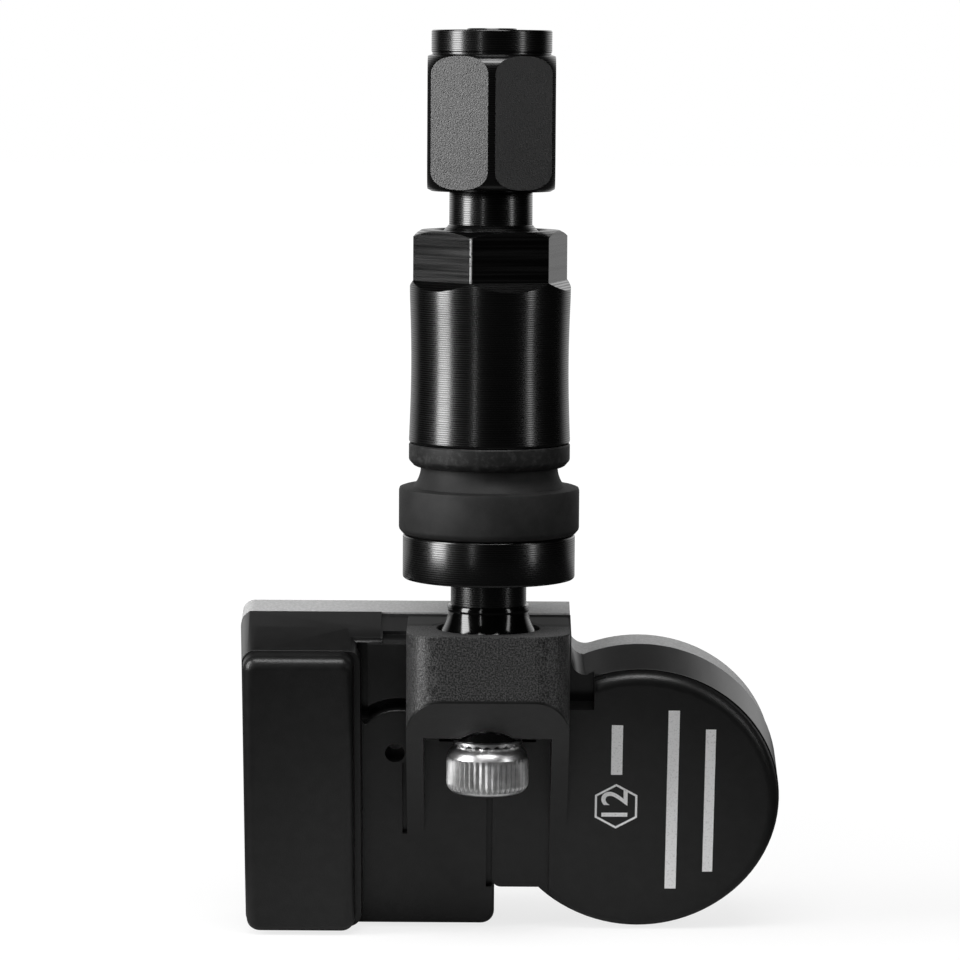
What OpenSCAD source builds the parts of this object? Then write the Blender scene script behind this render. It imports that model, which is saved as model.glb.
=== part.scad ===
// Tyre pressure sensor with a clamp-in metal valve.
// The valve passes through the wheel's valve hole and is held by a rubber seal, a washer and a long
// sleeve nut. The sensor housing hangs on the valve's ball foot, and a screw from below clamps it there.
//
// Row frame, in millimetres: the origin is on the valve's axis, on the face of the seal that the
// wheel presses on. +Z runs out of the wheel along the valve, +X to the right of the housing's front
// and +Y from its front to its back.
// Housing frame: the origin is at the front top edge of the housing's middle plate. Its X is the
// row's X, its Y runs into the housing and its Z up along it. It leans by the angle named lean.

/* [Rubber seal] */
// Diameter of the seal's flange, which lies inside the wheel
flange_d = 15.7; // [14.5:0.1:17]
// Thickness of the seal's flange
flange_t = 4.1; // [3:0.1:5]
// Diameter of the seal's neck at its top, a little less than the valve hole
seal_neck_d = 11.9; // [11.2:0.1:12.4]
// Diameter of the seal's neck where it flares into the flange
seal_root_d = 13; // [12.4:0.1:14]
// Height of the seal's neck, up to the washer
seal_neck_h = 1.8; // [1.4:0.1:3]

/* [Nut and washer] */
// Diameter of the plastic washer
washer_d = 14; // [13.4:0.1:15]
// Thickness of the plastic washer
washer_t = 2; // [1.5:0.1:2.6]
// Width of the conical edge under the washer
washer_edge = 0.5; // [0.2:0.1:0.8]
// Diameter of the nut's sleeve at both of its ends
sleeve_d = 14; // [13.9:0.05:15]
// How much slimmer the sleeve is at its waist, on the radius
sleeve_waist = 0.17; // [0.05:0.01:0.3]
// Height of the nut's sleeve
sleeve_h = 14.15; // [10:0.05:18]
// Width of the nut across its flats
nut_af = 12; // [11.8:0.1:12]
// Height of the nut's hexagon
nut_hex_h = 4.35; // [3.5:0.05:6]
// Turn of the nut's hexagon about the valve at rest, in degrees
nut_turn_at_rest = 15.7; // [0:0.1:60]
// Pitch of the nut's thread
nut_pitch = 1; // [0.75:0.05:1.25]

/* [Valve stem] */
// Outer diameter of the stem's main thread
main_thread_d = 9.4; // [9:0.1:10]
// Diameter of the bare neck between nut and cap
neck_d = 7.2; // [6.8:0.1:7.4]
// Height of the bare neck that shows between nut and cap
neck_gap = 3.3; // [3:0.1:5]
// Outer diameter of the cap's thread on the stem
tip_thread_d = 7.7; // [7.5:0.05:7.9]
// Length of the cap's thread on the stem
tip_thread_h = 9.8; // [8:0.1:12]
// Diameter of the collar under the seal
collar_d = 15; // [14:0.1:15.5]
// Height of the collar under the seal
collar_h = 3.9; // [3:0.1:5]
// Diameter of the foot's neck
foot_neck_d = 6.6; // [6:0.1:7]
// Height of the foot's neck
foot_neck_h = 2.3; // [1.5:0.1:3]
// Diameter of the thin ring on the foot's neck
foot_ring_d = 7.1; // [6.8:0.1:7.6]
// Height of the ring and its groove
foot_ring_h = 0.6; // [0.4:0.1:1]
// Diameter of the ball foot, which is also the mouth of the bell above it
ball_d = 8.7; // [8.4:0.1:9]
// Height of the bell, from the ring to the ball's middle
bell_h = 2.1; // [1.6:0.1:2.8]
// How far the ball's flat end lies below its middle
ball_cut = 3.6; // [3:0.1:3.8]
// Diameter of the air passage through the stem
air_d = 2; // [1.4:0.1:2.4]
// Diameter of the hole through which the air leaves the foot
outlet_d = 1.2; // [0.8:0.1:1.6]

/* [Valve cap] */
// Width of the cap across its flats
cap_af = 11; // [10.6:0.1:11.4]
// Diameter over the cap's turned corners
cap_corner_d = 12.37; // [12:0.01:12.6]
// Height of the cap's hexagon
cap_hex_h = 11.8; // [11.4:0.1:13]
// Height of the cone that bevels the hexagon's ends
cap_bevel = 1; // [0.4:0.1:1.4]
// Diameter of the ring on top of the cap
cap_ring_d = 10.4; // [9.6:0.1:10.8]
// Height of the ring on top of the cap
cap_ring_h = 2.2; // [1.8:0.1:3]
// Thickness of the rubber ring inside the cap
cap_seal_t = 0.9; // [0.6:0.1:1.2]
// Pitch of the cap's thread
cap_pitch = 0.794; // [0.7:0.001:0.9]

/* [Valve core] */
// Diameter of the core's threaded part
core_d = 5; // [4.8:0.05:5.1]
// Diameter of the core's barrel
barrel_d = 4.2; // [3.9:0.05:4.3]
// Length of the core's threaded part
core_head_h = 4.6; // [4:0.1:5]
// Length of the core's barrel
barrel_h = 6; // [5:0.1:7]
// Diameter of the pin
pin_d = 1.4; // [1.2:0.1:1.6]
// How far the pin can be pressed down
pin_travel = 1; // [0.6:0.1:1.2]

/* [Clamp screw] */
// Diameter of the screw's thread
screw_d = 4; // [3.6:0.1:4.2]
// Length of the screw under its head
screw_l = 10.9; // [10:0.1:11.1]
// Diameter of the knurled head
head_d = 7.2; // [6.8:0.1:7.4]
// Height of the knurled head
head_h = 4.2; // [3.2:0.1:4.4]
// Width of the hexagon socket across its flats
socket_af = 3; // [2.5:0.5:3]
// Depth of the hexagon socket
socket_depth = 2; // [1.5:0.1:2.4]
// Number of ridges in the knurl
knurl_count = 44; // [30:1:52]
// Depth of the knurl
knurl_depth = 0.13; // [0.08:0.01:0.18]
// Diameter of the toothed lock washer
lock_d = 6.1; // [5.8:0.1:6.6]
// Thickness of the toothed lock washer
lock_t = 0.5; // [0.45:0.05:0.8]
// Number of teeth on the lock washer
lock_teeth = 22; // [16:2:28]
// Length of the saddle block, which slides in the arched channel of the bracket's roof
saddle_d = 5.6; // [5.4:0.1:5.8]
// How far the saddle block stands out below the roof at its middle
saddle_t = 0.05; // [0.05:0.05:0.4]

/* [Bracket] */
// Width of the bracket
bracket_w = 14.2; // [13.6:0.05:14.4]
// Thickness of the bracket's legs
leg_t = 1.5; // [1.2:0.05:1.8]
// Distance from the valve's axis to the bracket's front wall
bracket_front = 6; // [5.6:0.1:6.4]
// Radius of the bracket's upright front corners
bracket_corner = 3.1; // [1.5:0.1:3.4]
// Height of the lip above the middle of the ball
lip_h = 0.6; // [0.4:0.05:0.8]
// Radius of the round seat that the lip surrounds
seat_r = 5; // [4.8:0.05:5.2]
// Height of the front wall, down to the slanted cut
front_wall_h = 5.8; // [5:0.1:6.4]
// Angle between the slanted cut and the valve's axis
cut_angle = 42.8; // [40:0.1:46]
// Distance from the middle of the ball to the underside of the roof
roof_r = 9.15; // [9:0.05:9.6]
// Half width of the arched channel in the roof, for the saddle block
channel_half = 2.3; // [2.25:0.05:2.5]
// Height of the arched channel in the roof
channel_h = 0.45; // [0.4:0.05:0.8]
// How far the housing can tilt back from its angle at rest, in degrees
tilt_back = 8; // [4:0.5:8]
// How far the housing can tilt forward from its angle at rest, in degrees
tilt_forward = 1.5; // [0.5:0.5:1.5]

/* [Housing] */
// Angle by which the housing leans back from the valve's axis
lean = 14.6; // [13:0.1:16]
// Distance from the valve's axis back to the middle plate's top edge
plate_back = 1.9; // [1.8:0.05:2.2]
// Distance from the middle of the ball down to the middle plate's top edge
plate_drop = 0.7; // [0.6:0.05:0.9]
// Depth of the housing at its middle plate
plate_depth = 6.2; // [6.1:0.05:6.8]
// Height of the housing at its middle plate
plate_h = 27.9; // [27:0.1:29]
// Distance from the valve's axis to the middle plate's right edge
plate_right = 0.7; // [0.6:0.1:1.2]
// Distance from the valve's axis to the housing's left side
left_side = 22.1; // [21.6:0.05:23]
// Distance from the valve's axis to the left box's right wall
box_right = 11.75; // [11.4:0.05:12]
// How far the left box stands proud of the middle plate
box_proud = 4; // [3:0.1:4.6]
// How far the left box's grained front part starts behind its face
box_grain = 1.85; // [1.4:0.05:2.4]
// How far the left box's top lies below the top wall, at its front
box_dip = 0.3; // [0.1:0.05:0.5]
// Radius of the left box's front edges
box_edge = 1; // [0.6:0.05:1.1]
// How far the round part stands proud of the middle plate
round_proud = 0.55; // [0.3:0.05:0.7]
// Radius of the round part
round_r = 12.4; // [12.2:0.05:12.8]
// Distance from the valve's axis to the centre of the round part
round_x = 13.55; // [13.3:0.05:13.8]
// Distance from the housing's top down to the centre of the round part
round_z = 15.55; // [15.3:0.05:15.8]
// Radius of the round part's front edge
round_edge = 1.05; // [0.5:0.05:1.2]
// Height of the notch in the foot between the middle plate and the round part
foot_notch = 3.8; // [3.4:0.05:4]
// Radius of the valley between the bracket and the round part
valley_r = 1.4; // [1:0.1:1.6]
// Outline corner radius of the housing
corner_r = 1.2; // [0.8:0.1:1.4]
// Radius of the middle plate's front edges
plate_edge = 0.5; // [0.3:0.05:0.6]
// Draft of the left box's sides, over their depth
draft = 0.55; // [0.3:0.05:0.6]
// Height of the step at the parting line between smooth wall and grained front
parting_step = 0.12; // [0.05:0.01:0.2]
// Thickness of the housing's side walls
wall = 1.3; // [1.1:0.05:1.5]
// Thickness of the middle plate
plate_t = 2.7; // [2.6:0.05:2.9]

/* [Pressure port] */
// Distance from the valve's axis to the port boss
boss_x = 7.85; // [7.6:0.05:8]
// Distance from the housing's top down to the port boss
boss_z = 10.85; // [10.4:0.05:11.2]
// Radius of the port boss
boss_r = 4.15; // [3.9:0.05:4.2]
// How far the port boss stands proud of the middle plate
boss_proud = 0.4; // [0.2:0.05:0.5]
// Distance from the valve's axis to the port
port_x = 8.2; // [8.15:0.05:8.4]
// Diameter of the port
port_d = 1.75; // [1.4:0.05:2]
// Width of the arched groove above the boss
groove_w = 0.9; // [0.6:0.05:1]
// Depth of the grooves and pockets in the front
groove_depth = 1.45; // [1:0.05:1.5]

/* [Back cover and insides] */
// Thickness of the back cover
cover_t = 2.8; // [2.2:0.1:3.2]
// How far the cover's edge lies inside the housing's
cover_inset = 0.05; // [0.05:0.05:0.4]
// Thickness of the circuit board
board_t = 0.8; // [0.6:0.1:1]
// Distance from the middle plate's face to the circuit board
board_y = 4.6; // [4.5:0.05:4.8]
// Diameter of the battery cell
cell_d = 16; // [15.6:0.1:16]
// Thickness of the battery cell
cell_t = 3.2; // [2.5:0.1:3.2]
// Thickness of the battery's metal tabs
tab_t = 0.15; // [0.1:0.05:0.15]
// Side of the square pressure sensor chip
sensor_side = 5.2; // [4.6:0.1:5.6]
// Thickness of the pressure sensor chip
sensor_t = 1.2; // [1:0.1:1.3]

/* [Clearances] */
// Radial clearance of threads, bores and the ball in its socket
running_gap = 0.05; // [0.02:0.01:0.08]
// Clearance round the screw in its slot
slot_gap = 0.15; // [0.1:0.05:0.2]
// Clearance between the circuit board and the walls
board_gap = 0.35; // [0.2:0.05:0.5]

/* [Hidden] */
$fn = 96;
// A cut runs past the surface that it leaves by this much, and stops this shy of one that it runs along
over = 0.5;
shy = 0.02;

// Heights on the valve, from the seal's face up
washer_z = seal_neck_h;
sleeve_z = washer_z + washer_t;
nut_hex_z = sleeve_z + sleeve_h;
nut_top_z = nut_hex_z + nut_hex_h;
cap_z = nut_top_z + neck_gap;
cap_ring_z = cap_z + cap_hex_h;
cap_top_z = cap_ring_z + cap_ring_h;
// The stem's thread starts just inside the cap's mouth
tip_z = cap_z + 0.5;
stem_top_z = tip_z + tip_thread_h;
tip_chamfer = 0.4;
thread_runout = 0.4;
cap_roof_z = stem_top_z + cap_seal_t;
// How fast the cone that bevels the nut's top widens, per height
nut_cone = 2.6;
cap_seal_hole_d = 4;
cap_disc_r = 2.2;
cap_disc_t = 0.12;
// Heights on the valve, from the seal's face down
collar_z = -flange_t - collar_h;
foot_ring_z = collar_z - foot_neck_h;
bell_z = foot_ring_z - foot_ring_h;
ring_chamfer = 0.12;
pivot_z = bell_z - bell_h;
bell_top_r = foot_ring_d / 2 - 0.05;
bell_power = 1.7;
ball_r = ball_d / 2;
ball_end_z = pivot_z - ball_cut;
outlet_z = collar_z - 0.9;
collar_chamfer = 0.25;
// Bores of the stem
core_bore_d = core_d + 2 * running_gap;
core_top_z = stem_top_z - 0.9;
core_seat_z = core_top_z - core_head_h - 2;
core_seal_t = 1.5;
barrel_bore_d = barrel_d + 0.3;
barrel_end_z = core_seat_z - barrel_h + 2;
core_room_z = barrel_end_z - 7;
barrel_hole_d = 2.7;
barrel_lip_t = 0.8;
barrel_lip_d = 2;
pin_top_z = stem_top_z - 0.4;
pin_collar_z = core_top_z - 2.6;
pin_collar_t = 0.5;
pin_collar_d = 2.4;
cup_d = 3.5;
cup_t = 1.2;
spring_wire_d = 0.3;
spring_turns = 7;
// Screw, counted down from the roof
saddle_top_z = pivot_z - roof_r;
lock_top_z = saddle_top_z - saddle_t;
head_top_z = lock_top_z - lock_t;
head_end_z = head_top_z - head_h;
tapped_end_z = head_top_z + screw_l + 0.4;
screw_bore_d = screw_d + 2 * running_gap;
head_shoulder = 1;
head_round = 0.9;
// Housing
plate_z = pivot_z - plate_drop;
inner_w = bracket_w - 2 * leg_t;
back_y = plate_depth;
box_front_y = -box_proud;
box_step_y = box_front_y + box_grain;
round_front_y = -round_proud;
round_step_y = round_front_y + round_edge + 0.05;
right_plate_z = -plate_h + foot_notch;
// Right end of the straight top wall, and where its side meets the valley
block_right = bracket_w / 2 - 0.1;
valley_side = block_right + 0.35;
valley_x = valley_side + valley_r;
valley_z = -round_z + sqrt(pow(round_r + valley_r, 2) - pow(round_x - valley_x, 2));
ledge = 0.8;
cell_y = round_front_y + wall + tab_t;
// The cell sits off the round part's middle, away from the bracket
cell_shift = 0.3 * (round_r - wall - cell_d / 2);
cell_x = round_x + cell_shift;
cell_z = round_z + cell_shift;
pocket_right = 9.4;
pocket_z = 6.5;
// The top wall is higher left of this line
top_step = 0.2;
top_step_x = -9.5;
top_front = 0.15;
top_flat_y = 2.4;
// How far the left box's lower side lies above the middle plate's
box_rise = 0.25;
// Groove between the middle plate and the right one
seam_w = 0.55;
seam_depth = 0.6;
// Details of the housing's front
side_pocket_w = 0.95;
side_pocket_high = 0.45;
side_pocket_low = 7.3;
side_pocket_gap = 0.2;
groove_end = 3.2;
leg_slot_w = 0.45;
leg_slot_high = 11.8;
leg_slot_low = 18.9;
leg_slot_depth = 0.6;
seam_high = 9;
web_low = pocket_z + 0.2;
web_high = 3.7;
// Insides
filter_d = 3.4;
filter_t = 0.25;
filter_gap = 0.1;
gasket_t = board_y - sensor_t - plate_t;
chip_side = 3.6;
chip_x = -3.8;
chip_z = -plate_h + 6.2;
gasket_d = 4.6;
gasket_hole_d = 2.2;
sensor_hole_d = 1.2;
rim_t = 0.95;
tab_w = 3;
tab_reach = 4;
tab_foot_x = round_x - round_r + wall + 0.9;
back_tab_x = cell_x - 3;
back_tab_z = cell_z + 5;
room_x = (left_side + box_right - ledge) / 2;
aerial_w = 3;
aerial_y = -1.9;
aerial_t = 0.4;
aerial_low = plate_h - 4;
aerial_high = 4;
coil_w = 2.8;
coil_y = 1.6;
coil_low = plate_h - 8.4;
coil_high = 8.5;
waist = 0.5;
winding_low = coil_low - 1.5;
winding_high = coil_high + 1.5;

// Turns the housing's frame into the row's frame
module in_housing()
    translate([0, plate_back, plate_z])
        rotate([lean, 0, 0])
            children();

// Extrudes an outline drawn in X and Z through the housing's depth, from y_front back to y_back
module through(y_front, y_back)
    translate([0, y_back, 0])
        rotate([90, 0, 0])
            linear_extrude(y_back - y_front)
                children();

// Block between two corners
module block(low, high)
    translate(low)
        cube(high - low);

// Points of an arc, for profiles
function arc(centre, r, from, to, steps = 8) =
    [for (i = [0 : steps])
        let (a = from + (to - from) * i / steps)
        centre + r * [cos(a), sin(a)]];

// Upright post along the depth: its front edge is round and its back is wider by the draft
module post(r, y_front, y_back, edge, flare)
    rotate([90, 0, 0])
        rotate_extrude($fn = 32)
            polygon(concat([[0, -y_back], [r + flare, -y_back]],
                arc([r - edge, -y_front - edge], edge, 0, 90, 5), [[0, -y_front]]));

// Plate with rounded corners, a rounded front edge and drafted sides
module rounded_plate(x_low, x_high, z_low, z_high, y_front, y_back, corner, edge, flare)
    hull()
        for (x = [x_low + corner, x_high - corner], z = [z_low + corner, z_high - corner])
            translate([x, 0, z])
                post(corner, y_front, y_back, edge, flare);

// Slab with the housing's outline, pulled in by inset
module slab(inset, y_front, y_back)
    difference() {
        union() {
            block([-left_side + inset, y_front, -plate_h + inset], [plate_right - inset, y_back, -inset]);
            block([-left_side / 2, y_front, right_plate_z + inset], [round_x, y_back, -round_z]);
            block([-left_side / 2, y_front, -round_z], [valley_side - inset, y_back, -inset]);
            through(y_front, y_back)
                polygon([[0, -round_z], [0, valley_z], [valley_x, valley_z], [round_x, -round_z]]);
            bar_y(round_x, -round_z, round_r - inset, y_front, y_back);
        }
        bar_y(valley_x, valley_z, valley_r + inset - 0.01, y_front - 1, y_back + 1);
    }

// Cylinder along the housing's depth
module bar_y(x, z, r, y_front, y_back)
    translate([x, y_back, z])
        rotate([90, 0, 0])
            cylinder(r = r, h = y_back - y_front);

// Turned stem, from the threaded tip down to the ball foot
module valve_stem()
    color([0.03, 0.03, 0.03])
        difference() {
            rotate_extrude()
                polygon(concat(
                    [[0, ball_end_z]],
                    arc([0, pivot_z], ball_r, -asin(ball_cut / ball_r), 0, 10),
                    bell_profile(),
                    [[foot_ring_d / 2, bell_z + ring_chamfer],
                    [foot_ring_d / 2, foot_ring_z - ring_chamfer],
                    [foot_neck_d / 2, foot_ring_z],
                    [foot_neck_d / 2, collar_z],
                    [collar_d / 2 - collar_chamfer, collar_z],
                    [collar_d / 2, collar_z + collar_chamfer],
                    [collar_d / 2, -flange_t - collar_chamfer],
                    [collar_d / 2 - collar_chamfer, -flange_t],
                    [main_thread_d / 2, -flange_t],
                    [main_thread_d / 2, nut_top_z - thread_runout],
                    [neck_d / 2, nut_top_z - thread_runout + (main_thread_d - neck_d) / 2],
                    [neck_d / 2, tip_z],
                    [tip_thread_d / 2, tip_z + (tip_thread_d - neck_d) / 2],
                    [tip_thread_d / 2, stem_top_z - tip_chamfer],
                    [tip_thread_d / 2 - tip_chamfer, stem_top_z],
                    [0, stem_top_z]]));
            // Bores for the core, the air and the screw
            translate([0, 0, core_seat_z])
                cylinder(d = core_bore_d, h = stem_top_z - core_seat_z + over);
            translate([0, 0, core_room_z])
                cylinder(d = barrel_bore_d, h = core_seat_z - core_room_z + over);
            translate([0, 0, outlet_z - outlet_d])
                cylinder(d = air_d, h = core_room_z - outlet_z + outlet_d + over);
            translate([0, 0, outlet_z])
                rotate([-90, 0, 0])
                    cylinder(d = outlet_d, h = foot_neck_d, $fn = 32);
            translate([0, 0, ball_end_z - over])
                cylinder(d = screw_bore_d, h = tapped_end_z - ball_end_z + over);
        }

// Hollow curve of the bell, from the ball's middle up to the ring
function bell_profile(steps = 8) =
    [for (i = [1 : steps]) [
        bell_top_r + (ball_r - bell_top_r) * pow(1 - i / steps, bell_power),
        pivot_z + ring_chamfer + (bell_h - ring_chamfer) * i / steps]];

// Rubber seal with a flange inside the wheel and a neck in its valve hole
module rubber_seal()
    color([0.1, 0.1, 0.1])
        rotate_extrude()
            polygon(concat([
                [main_thread_d / 2 + 0.02, -flange_t],
                [flange_d / 2 - 0.5, -flange_t],
                [flange_d / 2, -flange_t + 0.5],
                [flange_d / 2, -0.3],
                [flange_d / 2 - 0.3, 0],
                [seal_root_d / 2, 0]],
                [for (i = [1 : 6]) [
                    seal_neck_d / 2 + (seal_root_d - seal_neck_d) / 2 * pow(1 - i / 6, 2),
                    seal_neck_h * i / 6]],
                [[main_thread_d / 2 + 0.02, seal_neck_h]]));

// Plastic washer between wheel and nut
module nut_washer()
    color([0.13, 0.13, 0.13])
        rotate_extrude()
            polygon([
                [main_thread_d / 2 + running_gap, washer_z],
                [washer_d / 2 - washer_edge, washer_z],
                [washer_d / 2, washer_z + washer_edge],
                [washer_d / 2, sleeve_z - 0.1],
                [washer_d / 2 - 0.1, sleeve_z],
                [main_thread_d / 2 + running_gap, sleeve_z]]);

// Long nut: a waisted sleeve with a hexagon on top
module sleeve_nut()
    color([0.03, 0.03, 0.03])
        difference() {
            union() {
                rotate_extrude()
                    polygon(concat([
                        [0, sleeve_z],
                        [sleeve_d / 2 - 0.25, sleeve_z]],
                        [for (i = [0 : 8]) [
                            sleeve_d / 2 - sleeve_waist * sin(180 * i / 8),
                            sleeve_z + 0.25 + (sleeve_h - 0.45) * i / 8]],
                        [[sleeve_d / 2 - 0.2, nut_hex_z],
                        [0, nut_hex_z]]));
                intersection() {
                    translate([0, 0, nut_hex_z - 0.5])
                        rotate(nut_turn_at_rest)
                            cylinder(d = nut_af / cos(30), h = nut_hex_h + 0.5, $fn = 6);
                    // The hexagon's top is bevelled by a cone
                    translate([0, 0, nut_hex_z - 0.5])
                        cylinder(d = nut_af / cos(30) + 0.2, h = nut_hex_h);
                    translate([0, 0, nut_hex_z - 0.5])
                        cylinder(r1 = nut_af / 2 + nut_cone * (nut_hex_h + 0.5), r2 = nut_af / 2,
                            h = nut_hex_h + 0.5);
                }
            }
            translate([0, 0, sleeve_z - over])
                cylinder(d = main_thread_d + 2 * running_gap, h = nut_top_z - sleeve_z + 2 * over);
        }

// Metal cap, hexagonal with turned corners and a round top
module valve_cap()
    color([0.04, 0.04, 0.04])
        difference() {
            union() {
                intersection() {
                    translate([0, 0, cap_z])
                        rotate(-90)
                            cylinder(d = cap_af / cos(30), h = cap_hex_h, $fn = 6);
                    rotate_extrude()
                        polygon([
                            [0, cap_z],
                            [cap_af / 2 - 0.3, cap_z],
                            [cap_corner_d / 2, cap_z + cap_bevel],
                            [cap_corner_d / 2, cap_ring_z - cap_bevel],
                            [cap_af / 2 - 0.1, cap_ring_z],
                            [0, cap_ring_z]]);
                }
                rotate_extrude()
                    polygon([
                        [0, cap_ring_z - 0.5],
                        [cap_ring_d / 2 - 0.15, cap_ring_z - 0.5],
                        [cap_ring_d / 2 - 0.15, cap_ring_z + 0.3],
                        [cap_ring_d / 2, cap_ring_z + 0.45],
                        [cap_ring_d / 2, cap_top_z - 0.25],
                        [cap_ring_d / 2 - 0.25, cap_top_z],
                        [cap_disc_r, cap_top_z],
                        [cap_disc_r - 0.1, cap_top_z + cap_disc_t],
                        [0, cap_top_z + cap_disc_t]]);
            }
            translate([0, 0, cap_z - over])
                cylinder(d = tip_thread_d + 2 * running_gap, h = cap_roof_z - cap_z + over);
        }

// Rubber ring inside the cap
module cap_seal()
    color([0.7, 0.15, 0.1])
        translate([0, 0, stem_top_z])
            difference() {
                cylinder(d = tip_thread_d - 0.1, h = cap_seal_t);
                translate([0, 0, -over])
                    cylinder(d = cap_seal_hole_d, h = cap_seal_t + 2 * over);
            }

// Valve core: threaded head with a slotted top, and a barrel below it
module core_body()
    color("goldenrod")
        difference() {
            rotate_extrude()
                polygon([
                    [0, barrel_end_z],
                    [barrel_d / 2 - 0.2, barrel_end_z],
                    [barrel_d / 2, barrel_end_z + 0.2],
                    [barrel_d / 2, core_seat_z + core_seal_t],
                    [core_d / 2, core_seat_z + core_seal_t],
                    [core_d / 2, core_top_z - 1],
                    [core_d / 2 - 0.9, core_top_z],
                    [0, core_top_z]]);
            translate([0, 0, barrel_end_z + barrel_lip_t])
                cylinder(d = barrel_hole_d, h = core_top_z - barrel_end_z, $fn = 48);
            translate([0, 0, barrel_end_z - over])
                cylinder(d = barrel_lip_d, h = barrel_lip_t + 2 * over, $fn = 48);
            // Key slot across the head
            block([-core_d, -0.7, core_top_z - 0.9], [core_d, 0.7, core_top_z + over]);
        }

// Sealing ring of the core, on the shoulder in the stem
module core_seal()
    color("white")
        translate([0, 0, core_seat_z])
            difference() {
                cylinder(d = core_d, h = core_seal_t);
                translate([0, 0, -over])
                    cylinder(d = barrel_d + 0.04, h = core_seal_t + 2 * over);
            }

// Pin of the core, with the collar that the spring lifts
module core_pin()
    color("gold")
        rotate_extrude($fn = 48)
            polygon([
                [0, barrel_end_z - cup_t - 0.5],
                [0.55, barrel_end_z - cup_t - 0.5],
                [1, barrel_end_z - cup_t],
                [pin_d / 2, barrel_end_z - cup_t],
                [pin_d / 2, pin_collar_z],
                [pin_collar_d / 2, pin_collar_z],
                [pin_collar_d / 2, pin_collar_z + pin_collar_t],
                [pin_d / 2, pin_collar_z + pin_collar_t],
                [pin_d / 2, pin_top_z - 0.15],
                [pin_d / 2 - 0.15, pin_top_z],
                [0, pin_top_z]]);

// Rubber cup at the pin's foot, which closes the barrel from below
module core_cup()
    color([0.15, 0.15, 0.15])
        translate([0, 0, barrel_end_z - cup_t])
            difference() {
                cylinder(d = cup_d, h = cup_t, $fn = 48);
                translate([0, 0, -over])
                    cylinder(d = pin_d + 0.02, h = cup_t + 2 * over, $fn = 48);
            }

// Coil spring round the pin, between the barrel's lip and the pin's collar
module core_spring() {
    low = barrel_end_z + barrel_lip_t + spring_wire_d / 2 + 0.02;
    high = pin_collar_z - spring_wire_d / 2 - 0.02;
    coil_r = (barrel_hole_d - spring_wire_d) / 2 - 0.1;
    sides = 6;
    per_turn = 12;
    rings = spring_turns * per_turn;
    points = [for (i = [0 : rings], k = [0 : sides - 1])
        let (a = 360 * i / per_turn, r = coil_r + spring_wire_d / 2 * cos(360 * k / sides))
        [r * cos(a), r * sin(a), low + (high - low) * i / rings + spring_wire_d / 2 * sin(360 * k / sides)]];
    walls = [for (i = [0 : rings - 1], k = [0 : sides - 1])
        [i * sides + k, (i + 1) * sides + k, (i + 1) * sides + (k + 1) % sides, i * sides + (k + 1) % sides]];
    ends = [[for (k = [0 : sides - 1]) k], [for (k = [sides - 1 : -1 : 0]) rings * sides + k]];
    color("silver")
        polyhedron(points, concat(walls, ends), convexity = 10);
}

// Radius of an arch from half its width and its height
function arch_r(half, height) = (half * half + height * height) / (2 * height);

// Shape swept round the ball's middle, in a plane across the tilt axis: an arched key or its channel
module arched_sweep(half, height, gap)
    translate([0, 0, pivot_z])
        rotate([0, 90, 0])
            rotate_extrude(angle = 360)
                intersection() {
                    translate([roof_r - height + arch_r(half, height), 0])
                        circle(arch_r(half, height) + gap);
                    translate([roof_r - 2, -half - 2])
                        square([4, 2 * half + 4]);
                }

// Saddle block: it slides along the arched channel in the roof, and the lock washer bears on its flat end
module saddle_washer()
    color([0.02, 0.02, 0.02])
        difference() {
            intersection() {
                arched_sweep(channel_half, channel_h, -running_gap);
                translate([0, 0, lock_top_z])
                    cylinder(d = saddle_d, h = roof_r / 2);
            }
            translate([0, 0, lock_top_z - over])
                cylinder(d = screw_bore_d, h = roof_r / 2 + 2 * over);
        }

// Toothed lock washer between saddle block and screw head
module lock_washer()
    color([0.75, 0.75, 0.75])
        difference() {
            translate([0, 0, head_top_z])
                cylinder(d = lock_d, h = lock_t);
            translate([0, 0, head_top_z - over])
                cylinder(d = screw_bore_d, h = lock_t + 2 * over);
            for (i = [0 : lock_teeth - 1])
                rotate(360 * i / lock_teeth)
                    translate([screw_d / 2 + 0.5, 0, head_top_z])
                        rotate([90, 0, 90])
                            linear_extrude(lock_d)
                                polygon([[-0.28, -0.1], [0.28, -0.1], [0, 0.24]]);
        }

// Socket screw with a knurled head, driven in from below
module clamp_screw()
    color([0.85, 0.85, 0.86])
        difference() {
            union() {
                translate([0, 0, head_top_z - 0.1])
                    cylinder(d = screw_d, h = screw_l - 0.3);
                translate([0, 0, head_top_z + screw_l - 0.4])
                    cylinder(d1 = screw_d, d2 = screw_d - 0.8, h = 0.4);
                intersection() {
                    translate([0, 0, head_end_z])
                        linear_extrude(head_h)
                            polygon([for (i = [0 : 2 * knurl_count - 1])
                                let (a = 180 * i / knurl_count, r = head_d / 2 - (i % 2) * knurl_depth)
                                [r * cos(a), r * sin(a)]]);
                    rotate_extrude()
                        polygon(concat([
                            [0, head_end_z],
                            [head_d / 2 - head_round - 0.2, head_end_z]],
                            arc([head_d / 2 - head_round, head_end_z + head_round], head_round, -80, 0, 6),
                            [[head_d / 2 + 0.01, head_top_z - head_shoulder],
                            [head_d / 2 - 0.25, head_top_z - 0.35],
                            [head_d / 2 - 0.65, head_top_z],
                            [0, head_top_z]]));
                }
            }
            translate([0, 0, head_end_z - over])
                cylinder(d = socket_af / cos(30), h = socket_depth + over, $fn = 6);
        }

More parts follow.
